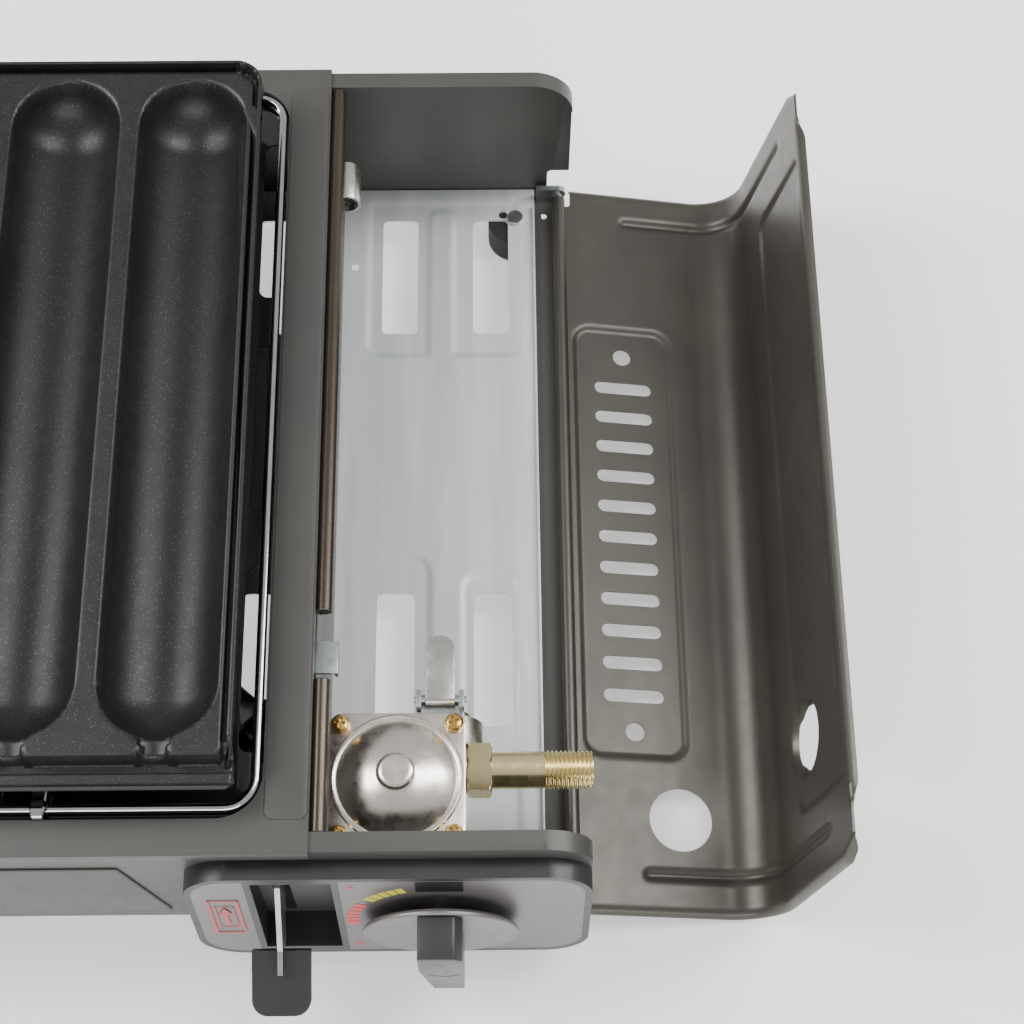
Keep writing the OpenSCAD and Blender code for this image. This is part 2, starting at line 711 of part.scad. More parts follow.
module cartridge_nozzle() place() color("#c9a24b") translate([nozzle_x, reg_y1 - 6, nozzle_z]) rotate([-90, 0, 0]) {
  difference() {
    union() {
      cylinder(h = 7, r = 6);
      translate([0, 0, 7]) cylinder(h = 3, r = 8);
      translate([0, 0, 10]) cylinder(h = 1.5, r = 4);
    }
    translate([0, 0, 2]) cylinder(h = 12, r = 2);
  }
}

module inlet_nut() place() color("#c8a552") translate([inlet_x0, inlet_y, inlet_z]) rotate([0, 90, 0]) difference() {
  cylinder(h = hex_len, r = hex_af / 2 / cos(30), $fn = 6);
  translate([0, 0, -1]) cylinder(h = hex_len + 2, r = core_r);
}

module inlet_pipe() place() color("#d0b05c") translate([inlet_x0, inlet_y, inlet_z]) rotate([0, 90, 0]) difference() {
  union() {
    translate([0, 0, -5]) cylinder(h = hex_len + 5, r = core_r);
    translate([0, 0, hex_len]) cylinder(h = neck_len, r = neck_d / 2);
    translate([0, 0, hex_len + neck_len]) cylinder(h = thread_len, r = thread_d / 2);
  }
  translate([0, 0, -6]) cylinder(h = hex_len + neck_len + thread_len + 8, r = 2.2);
}

module latch_bracket() place() color("#8b8c8b") difference() {
  union() {
    box(latch_x - 7.4, latch_x + 7.4, reg_y1 - 2, latch_y + 2.4, reg_cover_z - 1.7, reg_cover_z - gap);
    for (x = [latch_x - 7.4, latch_x + 5.8]) {
      box(x, x + 1.6, reg_y1 + 1, latch_y + 2.4, reg_cover_z - 1.7, latch_z + 2.4);
    }
  }
  translate([latch_x - 9, latch_y, latch_z]) rotate([0, 90, 0]) cylinder(h = 18, r = 1);
}

module latch_pin() place() color("#b5b7b8") {
  translate([latch_x - 8.2, latch_y, latch_z]) rotate([0, 90, 0]) cylinder(h = 16.4, r = 1);
}

module latch_tab() place() color("#c2bfb8") difference() {
  end_y = latch_y + tab_len - tab_w / 2 + 1.5;
  union() {
    translate([latch_x - tab_w / 2, latch_y, latch_z]) rotate([0, 90, 0]) cylinder(h = tab_w, r = 2);
    box(latch_x - tab_w / 2, latch_x + tab_w / 2, latch_y, end_y, latch_z + 0.8, latch_z + 2);
    translate([latch_x, end_y, latch_z + 0.8]) intersection() {
      cylinder(h = 1.2, r = tab_w / 2);
      translate([-tab_w, 0, -1]) cube([2 * tab_w, tab_w, 4]);
    }
  }
  translate([latch_x - tab_w, latch_y, latch_z]) rotate([0, 90, 0]) cylinder(h = 2 * tab_w, r = 1 + fit);
}

module spring_clip() place() color("#b9bab8") difference() {
  union() {
    box(wall_x + sheet, wall_x + sheet + 1, 229, 243, 46, 63);
    translate([wall_x + sheet + 5, 243, 59]) rotate([90, 0, 0]) difference() {
      cylinder(h = 14, r = 5);
      translate([0, 0, -1]) cylinder(h = 16, r = 4);
      translate([-6, -6, -1]) cube([6, 12, 16]);
    }
    box(wall_x + sheet, wall_x + sheet + 5, 229, 243, 63, 64);
    box(wall_x + sheet + 3, wall_x + sheet + 5, 229, 243, 54, 55);
  }
  translate([wall_x, 236, 50]) rotate([0, 90, 0]) cylinder(h = 4, r = 1.6);
}

// Control panel

module panel_outline(in) {
  translate([panel_x0 + in, panel_z0 + in]) round_rect(panel_w - 2 * in, panel_h - 2 * in, panel_r - in);
}

module panel_lean_cut() {
  // half space in front of the leaning face
  translate([panel_x0 - 1, -panel_t, panel_z0 + panel_h]) rotate([-panel_lean, 0, 0]) {
    translate([0, -60, -panel_h - 20]) cube([panel_w + 2, 60, panel_h + 40]);
  }
}

// A flat shape on the leaning face, drawn in X and height, from depth a in the face to b out of it
module on_face(a, b) {
  translate([0, -panel_t, panel_z0 + panel_h]) rotate([-panel_lean, 0, 0]) translate([0, 0, -panel_z0 - panel_h]) {
    along_y(-b, a) children();
  }
}

module control_panel() place() color("#3a3938") difference() {
  along_y(face_y - 1, 0) panel_outline(0);
  panel_lean_cut();
  // hollow back behind the front skin
  on_face(40, -panel_skin) intersection() {
    panel_outline(2.5);
    translate([slot_x1 + 2, panel_z0]) square([panel_w, panel_h]);
  }
  // slot for the lever
  box(slot_x0, slot_x1, -60, 60, slot_z0, slot_z1);
  on_face(label_t, 1) label_outline_left();
  on_face(label_t, 1) label_outline_right();
  translate([stem_x, -60, dial_z]) rotate([-90, 0, 0]) cylinder(h = 70, r = stem_r + 1);
  for (x = panel_screw_x) translate([x, -5, panel_screw_z]) rotate([-90, 0, 0]) cylinder(h = 10, r = 1.3);
}

module label_outline_left() intersection() {
  panel_outline(label_gap);
  translate([panel_x0, panel_z0]) square([slot_x0 - label_gap - panel_x0, panel_h]);
}

module label_outline_right() difference() {
  intersection() {
    panel_outline(label_gap);
    translate([slot_x1 + label_gap, panel_z0]) square([panel_w, panel_h]);
  }
  translate([stem_x, dial_z]) circle(stem_r + 1.4);
}

module label_left() place() color("#77757a") on_face(label_t, 0) label_outline_left();

module label_right() place() color("#8b8987") on_face(label_t, 0) label_outline_right();

module panel_screws() place() color("#c9c9c4") for (x = panel_screw_x) translate([x, 0, panel_screw_z]) {
  rotate([90, 0, 0]) cylinder(h = 4, r = 1.3);
  translate([0, sheet + 1.8, 0]) rotate([90, 0, 0]) cylinder(h = 1.8, r = 2.8);
  translate([0, sheet + 0.1, 0]) rotate([90, 0, 0]) cylinder(h = 1.2, r = 1.3);
}

module knob() place() color("#4a4846") translate([stem_x, knob_front, dial_z]) difference() {
  union() {
    rotate([-90, 0, 0]) cylinder(h = knob_t, r = dial_d / 2);
    translate([0, -bar_out, 0]) rotate([-90, 0, 0]) linear_extrude(bar_out + 0.5) polygon([
      [-bar_w / 2, -bar_top], [bar_w / 2, -bar_top], [bar_w / 2, bar_bottom], [-bar_w / 2 + 3, bar_bottom]]);
  }
  translate([0, -bar_out - 1, 0]) rotate([-90, 0, 0]) linear_extrude(1.6) slot_mark();
  translate([0, -6, 0]) rotate([-90, 0, 0]) cylinder(h = 12, r = stem_r);
}

// Engraved pointer on the grip
module slot_mark() translate([0, -10]) square([1.6, 9], center = true);

module valve_stem() place() color("#9fa09e") translate([stem_x, knob_front - 5.5, dial_z]) rotate([-90, 0, 0]) {
  cylinder(h = reg_y0 + 14 - knob_front + 5.5, r = stem_r);
}

// Lock lever, its slide and their guides

module lever_arm() place() color("#b9bab8") difference() {
  union() {
    translate([lever_x - arm_t / 2, lever_y, lever_z]) rotate([0, 90, 0]) cylinder(h = arm_t, r = 6);
    translate([lever_x - arm_t / 2, lever_y, lever_z]) rotate([paddle_drop, 0, 0]) {
      translate([0, -arm_reach, -5]) cube([arm_t, arm_reach, 10]);
    }
    // web and the finger that pushes the slide's ear
    along_x(lever_x - arm_t / 2, lever_x + arm_t / 2) polygon([
      [lever_y + 4, lever_z], [lever_y + 4, lever_z + 11], [lever_y - 2, lever_z + 11],
      [lever_y - 12, lever_z + 9], [lever_y - 29, lever_z - 8.4], [lever_y, lever_z - 4]]);
  }
  translate([lever_x - arm_t, lever_y, lever_z]) rotate([0, 90, 0]) cylinder(h = 2 * arm_t, r = 2 + fit);
}

module lever_pin() place() color("#b5b7b8") {
  translate([lever_x - 5, lever_y, lever_z]) rotate([0, 90, 0]) cylinder(h = 10, r = 2);
}

module lever_bracket() place() color("#a2a6a7") difference() {
  union() {
    for (x = [lever_x - 4.4, lever_x + 3]) box(x, x + 1.4, sheet, lever_y + 6, lever_z - 30, lever_z + 6);
    box(lever_x - 4.4, lever_x + 4.4, sheet, 2 * sheet, slot_z0 - 1, slot_z0 + 3.4);
  }
  translate([lever_x - 6, lever_y, lever_z]) rotate([0, 90, 0]) cylinder(h = 12, r = 2);
}

module lever_paddle() place() color("#2b2a2a") {
  translate([lever_x, lever_y, lever_z]) rotate([paddle_drop, 0, 0]) difference() {
    translate([0, -grip_reach, -paddle_t / 2]) {
      linear_extrude(paddle_t) {
        translate([-paddle_w / 2, 0]) square([paddle_w, paddle_len - paddle_r]);
        translate([-paddle_w / 2 + paddle_r, -paddle_r]) square([paddle_w - 2 * paddle_r, 2 * paddle_r]);
        for (s = [-1, 1]) translate([s * (paddle_w / 2 - paddle_r), 0]) circle(paddle_r);
      }
    }
    translate([-arm_t / 2, -arm_reach, -5]) cube([arm_t, arm_reach, 10]);
  }
}

module lock_slide() place() color("#4c4944") {
  bar_x = wall_x - 3;
  // bar beside the divider wall
  box(bar_x, bar_x + 1.4, ear_y, slide_y1, slide_z - 4, slide_z + 4);
  // hook that reaches through the wall's window
  box(bar_x, bar_x + 1.4, hook_y0, hook_y1, slide_z + 4, hook_z);
  box(bar_x, wall_x + 8, hook_y0, hook_y1, hook_z - 1.2, hook_z);
  box(wall_x + 6.8, wall_x + 8, hook_y0, hook_y1, hook_z - 3.4, hook_z - 1.2);
  // leg and ear that the lever pushes
  box(bar_x, bar_x + 1.4, ear_y, ear_y + 6, ear_z, slide_z - 4);
  box(lever_x - arm_t / 2, bar_x, ear_y, ear_y + 1.4, ear_z, ear_z + 4);
}

module slide_guides() place() color("#a2a6a7") for (y = [32, 80]) {
  box(wall_x - 5, wall_x - 3 - gap, y, y + 4, slide_z - 7, slide_z + 7);
  for (z = [slide_z - 7, slide_z + 5.8]) box(wall_x - 5, wall_x, y, y + 4, z, z + 1.2);
}

// Plate support and grill plate

module wire_loop(x0, x1, y0, y1, r, z) {
  c = wire_d / 2;
  for (y = [y0, y1]) rod([x0 + r, y, z], [x1 - r, y, z], c);
  for (x = [x0, x1]) rod([x, y0 + r, z], [x, y1 - r, z], c);
  for (k = [0:3]) {
    cx = k == 0 || k == 3 ? x1 - r : x0 + r;
    cy = k < 2 ? y1 - r : y0 + r;
    translate([cx, cy, z]) rotate([0, 0, 90 * k]) rotate_extrude(angle = 90) translate([r, 0]) circle(c);
  }
}

module wire_frame() place() color("#c9ccd0") wire_loop(loop_x0, loop_x1, loop_y0, loop_y1, 9, wire_z);

module cross_wires() place() color("#c9ccd0") for (x = cross_wire_x) {
  rod([x, loop_y0 + wire_d / 2, wire_z], [x, loop_y1 - wire_d / 2, wire_z], cross_r);
}

module trough_solid(r, z) {
  y0 = trough_y0 + trough_w / 2;
  y1 = trough_y0 + trough_len - trough_w / 2;
  translate([0, y0, z]) rotate([-90, 0, 0]) cylinder(h = y1 - y0, r = r);
  for (y = [y0, y1]) translate([0, y, z]) sphere(r);
}

module grill_plate() place() color("#2c2c2b") difference() {
  union() {
    // deck and its raised rim
    round_plate([plate_x0, plate_y0, plate_z - cast_t], plate_w, plate_d, 10, cast_t + plate_rim);
    for (i = [0:trough_n - 1]) intersection() {
      translate([burner_x + (i - (trough_n - 1) / 2) * trough_pitch, 0, 0]) trough_solid(trough_out_r, trough_z);
      box(plate_x0, plate_x0 + plate_w, 0, body_d, 0, plate_z);
    }
    // grease gutter along the front
    round_plate([plate_x0 + 1.5, plate_y0 - gutter_d, gutter_z], plate_w - 3, gutter_d + 8, 4, gutter_h);
  }
  round_plate([plate_x0 + 3, plate_y0 + 3, plate_z], plate_w - 6, plate_d - 6, 7, plate_rim + 1);
  for (i = [0:trough_n - 1]) translate([burner_x + (i - (trough_n - 1) / 2) * trough_pitch, 0, 0]) {
    trough_solid(trough_w / 2, trough_z);
    translate([0, trough_y0 + trough_len / 2, trough_z]) linear_extrude(20) {
      rotate([0, 0, 90]) slot(trough_len, trough_w);
    }
    // drain from the trough to the gutter
    box(-3, 3, plate_y0 - 1, trough_y0 + 8, plate_z - 4, plate_z + plate_rim + 1);
  }
  box(plate_x0 + 4, plate_x0 + plate_w - 4, plate_y0 - gutter_d + 2.2, plate_y0 + 0.1, gutter_z + cast_t, plate_z);
}

body_shell();
top_panel();
divider_wall();
floor_plate();
hinge_rod();
hinge_brackets();
feet();
foot_screws();
drip_tray();
burner_base();
burner_ring();
burner_cap();
mixing_tube();
gas_jet();
jet_holder();
gas_pipe();
burner_bracket();
igniter();
ignition_lead();
electrode_rod();
electrode_insulator();
regulator_body();
regulator_cover();
regulator_screws();
cartridge_nozzle();
inlet_nut();
inlet_pipe();
latch_bracket();
latch_pin();
latch_tab();
spring_clip();
control_panel();
label_left();
label_right();
panel_screws();
knob();
valve_stem();
lever_arm();
lever_paddle();
lever_pin();
lever_bracket();
lock_slide();
slide_guides();
cover();
wire_frame();
cross_wires();
grill_plate();
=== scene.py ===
import bpy
import bmesh
import json
import math
from mathutils import Matrix, Vector


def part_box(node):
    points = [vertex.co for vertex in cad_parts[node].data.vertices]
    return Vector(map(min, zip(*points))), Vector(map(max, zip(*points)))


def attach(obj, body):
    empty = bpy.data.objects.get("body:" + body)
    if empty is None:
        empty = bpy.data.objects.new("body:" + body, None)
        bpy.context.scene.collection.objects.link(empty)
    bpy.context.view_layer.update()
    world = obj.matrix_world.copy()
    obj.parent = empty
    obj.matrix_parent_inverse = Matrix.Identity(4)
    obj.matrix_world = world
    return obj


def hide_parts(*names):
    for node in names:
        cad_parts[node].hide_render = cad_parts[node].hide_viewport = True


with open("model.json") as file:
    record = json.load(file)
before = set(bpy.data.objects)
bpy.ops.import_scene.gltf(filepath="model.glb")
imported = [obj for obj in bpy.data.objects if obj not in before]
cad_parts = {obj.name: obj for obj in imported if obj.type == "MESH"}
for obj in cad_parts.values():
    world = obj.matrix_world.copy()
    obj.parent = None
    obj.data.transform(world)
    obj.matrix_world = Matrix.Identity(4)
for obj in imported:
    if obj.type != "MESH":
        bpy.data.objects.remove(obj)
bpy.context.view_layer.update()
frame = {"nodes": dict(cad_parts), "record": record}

# Everything below is measured in millimetres in the stove's own coordinates: X = 0 at the box's right
# side and negative to the left, Y = 0 at its front wall, Z = 0 on the floor plate.
shell_lo, shell_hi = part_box("body_shell")
RIM_Z = 70.5
ORIGIN = Vector((shell_hi.x, shell_lo.y, shell_hi.z - RIM_Z / 1000))
DEPTH = (shell_hi.y - shell_lo.y) * 1000
SHEET = 0.8


def row(p):
    """A stove point in millimetres as a point of the frame in metres."""
    return ORIGIN + Vector(p) / 1000


def local_box(node):
    """Low and high corner of a CAD piece's box in stove millimetres."""
    return [tuple((p - ORIGIN) * 1000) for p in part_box(node)]


def smooth(t):
    t = max(0.0, min(1.0, t))
    return t * t * (3 - 2 * t)


# ---------------------------------------------------------------- materials

def srgb(code):
    parts = [int(code[i:i + 2], 16) / 255 for i in (1, 3, 5)]
    return [c / 12.92 if c <= 0.04045 else ((c + 0.055) / 1.055) ** 2.4 for c in parts] + [1.0]


class Graph:
    def __init__(self, name):
        self.mat = bpy.data.materials.new(name)
        self.mat.use_nodes = True
        self.tree = self.mat.node_tree
        self.shader = self.tree.nodes["Principled BSDF"]
        self.coord = self.tree.nodes.new("ShaderNodeTexCoord").outputs["Object"]

    def node(self, kind, values=None, **settings):
        n = self.tree.nodes.new(kind)
        for k, v in settings.items():
            setattr(n, k, v)
        for k, v in (values or {}).items():
            if isinstance(v, bpy.types.NodeSocket):
                self.tree.links.new(v, n.inputs[k])
            else:
                n.inputs[k].default_value = v
        return n

    def set(self, **values):
        for k, v in values.items():
            socket = self.shader.inputs[k.replace("_", " ")]
            if isinstance(v, bpy.types.NodeSocket):
                self.tree.links.new(v, socket)
            else:
                socket.default_value = v

    def noise(self, size_mm, detail=2.0, rough=0.5, vector=None):
        return self.node("ShaderNodeTexNoise", {"Vector": vector or self.coord, "Scale": 1000 / size_mm,
                                                "Detail": detail, "Roughness": rough}).outputs["Fac"]

    def ramp(self, value, lo, hi, out_lo, out_hi):
        return self.node("ShaderNodeMapRange", {"Value": value, "From Min": lo, "From Max": hi,
                                                "To Min": out_lo, "To Max": out_hi}).outputs["Result"]

    def mix(self, factor, a, b):
        n = self.node("ShaderNodeMix", data_type="RGBA")
        for socket, v in ((n.inputs[0], factor), (n.inputs[6], a), (n.inputs[7], b)):
            if isinstance(v, bpy.types.NodeSocket):
                self.tree.links.new(v, socket)
            else:
                socket.default_value = v
        return n.outputs[2]

    def bump(self, height, distance_mm, strength=1.0):
        n = self.node("ShaderNodeBump", {"Height": height, "Distance": distance_mm / 1000,
                                         "Strength": strength})
        self.tree.links.new(n.outputs["Normal"], self.shader.inputs["Normal"])


def coated(name, base, other, roughness, metallic, grain_mm, grain_depth, coat=0.0):
    """Powder coat or moulded plastic: fine orange peel over a faint tone change."""
    g = Graph(name)
    tone = g.ramp(g.noise(38.0), 0.35, 0.65, 0.0, 1.0)
    g.set(Base_Color=g.mix(tone, srgb(base), srgb(other)), Metallic=metallic,
          Roughness=g.ramp(g.noise(6.0, 3.0), 0.3, 0.7, roughness - 0.03, roughness + 0.03), Coat_Weight=coat)
    g.bump(g.noise(grain_mm, 2.0), grain_depth, 0.6)
    return g.mat


def metal(name, base, other, roughness, grain_mm=0.5, depth=0.004, stretch=None):
    """Bare or plated metal, with faint drawn or cast texture."""
    g = Graph(name)
    vector = g.coord
    if stretch:
        vector = g.node("ShaderNodeMapping", {"Vector": g.coord, "Scale": stretch}).outputs["Vector"]
    tone = g.ramp(g.noise(9.0, 3.0, vector=vector), 0.3, 0.7, 0.0, 1.0)
    g.set(Base_Color=g.mix(tone, srgb(base), srgb(other)), Metallic=1.0,
          Roughness=g.ramp(g.noise(4.0, 3.0, vector=vector), 0.3, 0.7, roughness * 0.8, roughness * 1.2))
    g.bump(g.noise(grain_mm, 2.0, vector=vector), depth, 0.5)
    return g.mat


def cast_coating():
    """Non-stick coating on cast aluminium: near black with fine bright flakes that catch the light."""
    g = Graph("plate_coating")
    flake = g.node("ShaderNodeTexVoronoi", {"Vector": g.coord, "Scale": 1000 / 0.62, "Randomness": 1.0})
    size = g.ramp(flake.outputs["Distance"], 0.16, 0.26, 1.0, 0.0)
    pick = g.node("ShaderNodeSeparateColor", {"Color": flake.outputs["Color"]}).outputs[0]
    some = g.ramp(pick, 0.62, 0.66, 0.0, 1.0)
    bright = g.node("ShaderNodeMath", {0: size, 1: some}, operation="MULTIPLY").outputs[0]
    tone = g.ramp(g.noise(30.0), 0.35, 0.65, 0.0, 1.0)
    base = g.mix(tone, srgb("#201f1e"), srgb("#252423"))
    g.set(Base_Color=g.mix(g.ramp(bright, 0, 1, 0, 0.55), base, srgb("#8d8a84")),
          Metallic=g.ramp(bright, 0, 1, 0.25, 0.9), Roughness=g.ramp(g.noise(5.0), 0.3, 0.7, 0.36, 0.44))
    g.bump(g.noise(0.5, 2.0), 0.03, 0.55)
    return g.mat


def floor_zinc():
    """Galvanised sheet: pale, bluish grey, drawn along its length, with a soft mottle."""
    g = Graph("floor_steel")
    drawn = g.node("ShaderNodeMapping", {"Vector": g.coord, "Scale": (1.0, 0.06, 1.0)}).outputs["Vector"]
    tone = g.ramp(g.noise(7.0, 4.0, 0.6, vector=drawn), 0.3, 0.7, 0.0, 1.0)
    g.set(Base_Color=g.mix(tone, srgb("#ccd2d2"), srgb("#e2e6e5")), Metallic=0.3,
          Roughness=g.ramp(g.noise(24.0, 3.0), 0.3, 0.7, 0.38, 0.5))
    g.bump(g.noise(0.6, 2.0, vector=drawn), 0.01, 0.5)
    return g.mat


MATS = {
    "body_paint": coated("body_paint", "#4b4a48", "#4f4e4b", 0.42, 0.3, 0.45, 0.014),
    "cover_paint": coated("cover_paint", "#4e4b46", "#54514a", 0.36, 0.6, 0.4, 0.012),
    "frame_steel": metal("frame_steel", "#9fa4a6", "#b0b4b5", 0.34),
    "floor_steel": floor_zinc(),
    "wire_chrome": metal("wire_chrome", "#b4b6ba", "#c2c4c8", 0.08, 2.0, 0.002),
    "tray_enamel": coated("tray_enamel", "#131416", "#17181a", 0.12, 0.0, 3.0, 0.02, 0.6),
    "plate_coating": cast_coating(),
    "burner_steel": metal("burner_steel", "#8d8f8f", "#9c9e9e", 0.4),
    "burner_brass": metal("burner_brass", "#8d8168", "#a08f6e", 0.45),
    "cap_steel": coated("cap_steel", "#353433", "#403f3d", 0.5, 0.3, 0.6, 0.02),
    "inlet_brass": metal("inlet_brass", "#ead9a0", "#f2e2b0", 0.26, 0.8, 0.002),
    "regulator_zinc": metal("regulator_zinc", "#e2dace", "#eae3d8", 0.28, 1.2, 0.004),
    "yellow_zinc": metal("yellow_zinc", "#cfa65a", "#dcb872", 0.24),
    "bright_steel": metal("bright_steel", "#c4c3be", "#cfcec9", 0.25),
    "panel_plastic": coated("panel_plastic", "#2b2a29", "#2f2e2d", 0.38, 0.0, 0.35, 0.012),
    "knob_plastic": coated("knob_plastic", "#2b2a29", "#302f2e", 0.34, 0.0, 0.3, 0.012),
    "paddle_plastic": coated("paddle_plastic", "#242323", "#282727", 0.42, 0.0, 0.3, 0.014),
    "label_foil": coated("label_foil", "#716e6d", "#777372", 0.36, 0.4, 1.5, 0.003),
    "foot_rubber": coated("foot_rubber", "#1e1e1e", "#232323", 0.75, 0.0, 0.5, 0.02),
    "lead_rubber": coated("lead_rubber", "#202020", "#252525", 0.55, 0.0, 0.6, 0.01),
    "igniter_plastic": coated("igniter_plastic", "#2a2b2c", "#303132", 0.45, 0.0, 0.5, 0.01),
    "electrode_ceramic": coated("electrode_ceramic", "#e6e1d6", "#eeeae0", 0.2, 0.0, 2.0, 0.004, 0.3),
}
PRINT = {
    "red": coated("print_red", "#c23b40", "#c94349", 0.4, 0.0, 1.0, 0.002),
    "yellow": coated("print_yellow", "#c9bf3c", "#d0c748", 0.4, 0.0, 1.0, 0.002),
    "black": coated("print_black", "#191919", "#1d1d1d", 0.4, 0.0, 1.0, 0.002),
}

NODE_SLOT = {s["node"]: s["material_slot"] for s in frame["record"]["subparts"]}
for name, obj in frame["nodes"].items():
    obj.data.materials.clear()
    obj.data.materials.append(MATS[NODE_SLOT[name]])
    obj.data.set_sharp_from_angle(angle=math.radians(28))


# ---------------------------------------------------------------- mesh tools

def add_object(name, bm, body, slot, stands_for=(), sharp=32.0, mat=None):
    """Turns a bmesh drawn in millimetres into an object that rides on a body."""
    bmesh.ops.remove_doubles(bm, verts=bm.verts, dist=1e-4)
    bmesh.ops.recalc_face_normals(bm, faces=bm.faces)
    for v in bm.verts:
        v.co = row(v.co)
    mesh = bpy.data.meshes.new(name)
    bm.to_mesh(mesh)
    bm.free()
    for poly in mesh.polygons:
        poly.use_smooth = True
    mesh.set_sharp_from_angle(angle=math.radians(sharp))
    mesh.materials.append(mat or MATS[slot])
    obj = bpy.data.objects.new(name, mesh)
    bpy.context.scene.collection.objects.link(obj)
    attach(obj, body)
    if stands_for:
        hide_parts(*stands_for)
    return obj


def loft(bm, rings, caps=(True, True)):
    """Skins closed rings of equal length; caps fill the first and the last ring."""
    rows = [[bm.verts.new(p) for p in ring] for ring in rings]
    n = len(rows[0])
    for a, b in zip(rows, rows[1:]):
        for i in range(n):
            j = (i + 1) % n
            bm.faces.new((a[i], a[j], b[j], b[i]))
    if caps[0]:
        bm.faces.new(list(reversed(rows[0])))
    if caps[1]:
        bm.faces.new(rows[-1])


def tube(bm, path, radius, sides):
    """Round bar along a path of points."""
    pts = [Vector(p) for p in path]
    tangent = (pts[1] - pts[0]).normalized()
    side = tangent.orthogonal().normalized()
    rings = []
    for i, p in enumerate(pts):
        if i == 0:
            t = pts[1] - pts[0]
        elif i == len(pts) - 1:
            t = pts[-1] - pts[-2]
        else:
            t = (pts[i + 1] - p).normalized() + (p - pts[i - 1]).normalized()
        t.normalize()
        side = (side - t * side.dot(t)).normalized()
        up = t.cross(side)
        rings.append([p + (side * math.cos(a) + up * math.sin(a)) * radius
                      for a in [2 * math.pi * k / sides for k in range(sides)]])
    loft(bm, rings)


def bend_path(points, radius, steps):
    """Polyline with round bends of one radius at its inner corners."""
    pts = [Vector(p) for p in points]
    out = [pts[0]]
    for a, b, c in zip(pts, pts[1:], pts[2:]):
        d0, d1 = (a - b), (c - b)
        r = min(radius, d0.length * 0.49, d1.length * 0.49)
        angle = d0.angle(d1)
        cut = min(r / math.tan(angle / 2), d0.length * 0.49, d1.length * 0.49)
        p0, p1 = b + d0.normalized() * cut, b + d1.normalized() * cut
        for k in range(steps + 1):
            t = k / steps
            out.append(p0 * (1 - t) ** 2 + b * 2 * t * (1 - t) + p1 * t ** 2)
    out.append(pts[-1])
    return out


def round_rect(x0, x1, y0, y1, r, z, n=8):
    """Ring of a rectangle with round corners, counter-clockwise from its back right corner."""
    ring = []
    corners = ((x1 - r, y1 - r, 0), (x0 + r, y1 - r, 90), (x0 + r, y0 + r, 180), (x1 - r, y0 + r, 270))
    for cx, cy, a0 in corners:
        for k in range(n + 1):
            a = math.radians(a0 + 90 * k / n)
            ring.append((cx + r * math.cos(a), cy + r * math.sin(a), z))
    return ring


# Radius at which a turned profile meets its axis
POLE_R = 0.01


def lathe(bm, profile, place, sides):
    """Turns a profile of (radius, height) about the axis of a matrix."""
    rings = []
    for r, h in profile:
        rings.append([place @ Vector((r * math.cos(a), r * math.sin(a), h))
                      for a in [2 * math.pi * k / sides for k in range(sides)]])
    loft(bm, rings, (profile[0][0] > POLE_R, profile[-1][0] > POLE_R))


def prism(bm, outline, place, height, bevel=0.0, segments=2):
    """Extrudes a flat outline by height along the matrix's Z and rounds its sharp edges."""
    part = bmesh.new()
    bottom = [part.verts.new((x, y, 0)) for x, y in outline]
    face = part.faces.new(bottom)
    out = bmesh.ops.extrude_face_region(part, geom=[face])
    top = [v for v in out["geom"] if isinstance(v, bmesh.types.BMVert)]
    bmesh.ops.translate(part, verts=top, vec=(0, 0, height))
    bmesh.ops.recalc_face_normals(part, faces=part.faces)
    if bevel:
        edges = [e for e in part.edges if e.calc_face_angle(0) > math.radians(35)]
        bmesh.ops.bevel(part, geom=edges, affect="EDGES", offset=bevel, segments=segments,
                        profile=0.5, material=-1)
    part.transform(place)
    copy_into(bm, part)


def copy_into(bm, part):
    """Adds a bmesh to another and frees it."""
    mesh = bpy.data.meshes.new("part")
    part.to_mesh(mesh)
    part.free()
    bm.from_mesh(mesh)
    bpy.data.meshes.remove(mesh)


def box(bm, x0, x1, y0, y1, z0, z1, bevel=0.0):
    outline = [(x0, y0), (x1, y0), (x1, y1), (x0, y1)]
    prism(bm, outline, Matrix.Translation((0, 0, z0)), z1 - z0, bevel)


def lines(lo, hi, coarse, zones):
    """Grid lines from lo to hi: each zone (start, end, step) is finer than the coarse rest."""
    marks = sorted({lo, hi} | {m for z in zones for m in z[:2] if lo < m < hi})
    spots = [lo]
    for a, b in zip(marks, marks[1:]):
        steps = [z[2] for z in zones if z[0] <= (a + b) / 2 <= z[1]]
        count = max(1, round((b - a) / min(steps + [coarse])))
        spots += [a + (b - a) * k / count for k in range(1, count + 1)]
    return spots


# How near a hole's edge a grid point is pulled onto it, and the step that finds its slope
SNAP, SLOPE_STEP = 0.75, 0.05


def skin(us, vs, place, hole):
    """Sheet over a grid of (u, v), left out where hole(u, v) is negative and drawn up to its edge."""
    bm = bmesh.new()
    grid, depth = [], {}
    for u in us:
        line = []
        for v in vs:
            p, q = u, v
            d = hole(u, v)
            if abs(d) < SNAP:
                e = SLOPE_STEP
                gu, gv = hole(u + e, v) - hole(u - e, v), hole(u, v + e) - hole(u, v - e)
                size = math.hypot(gu, gv)
                if size > 1e-3:
                    p, q, d = u - d * gu / size, v - d * gv / size, 0.0
            vert = bm.verts.new(place(p, q))
            depth[vert] = d
            line.append(vert)
        grid.append(line)
    for i in range(len(us) - 1):
        for j in range(len(vs) - 1):
            quad = (grid[i][j], grid[i + 1][j], grid[i + 1][j + 1], grid[i][j + 1])
            found = [depth[v] for v in quad]
            middle = hole((us[i] + us[i + 1]) / 2, (vs[j] + vs[j + 1]) / 2)
            if min(found) < -1e-6 or (max(found) < 1e-6 and middle < 0):
                continue
            bm.faces.new(quad)
    bmesh.ops.delete(bm, geom=[v for v in bm.verts if not v.link_faces], context="VERTS")
    return bm


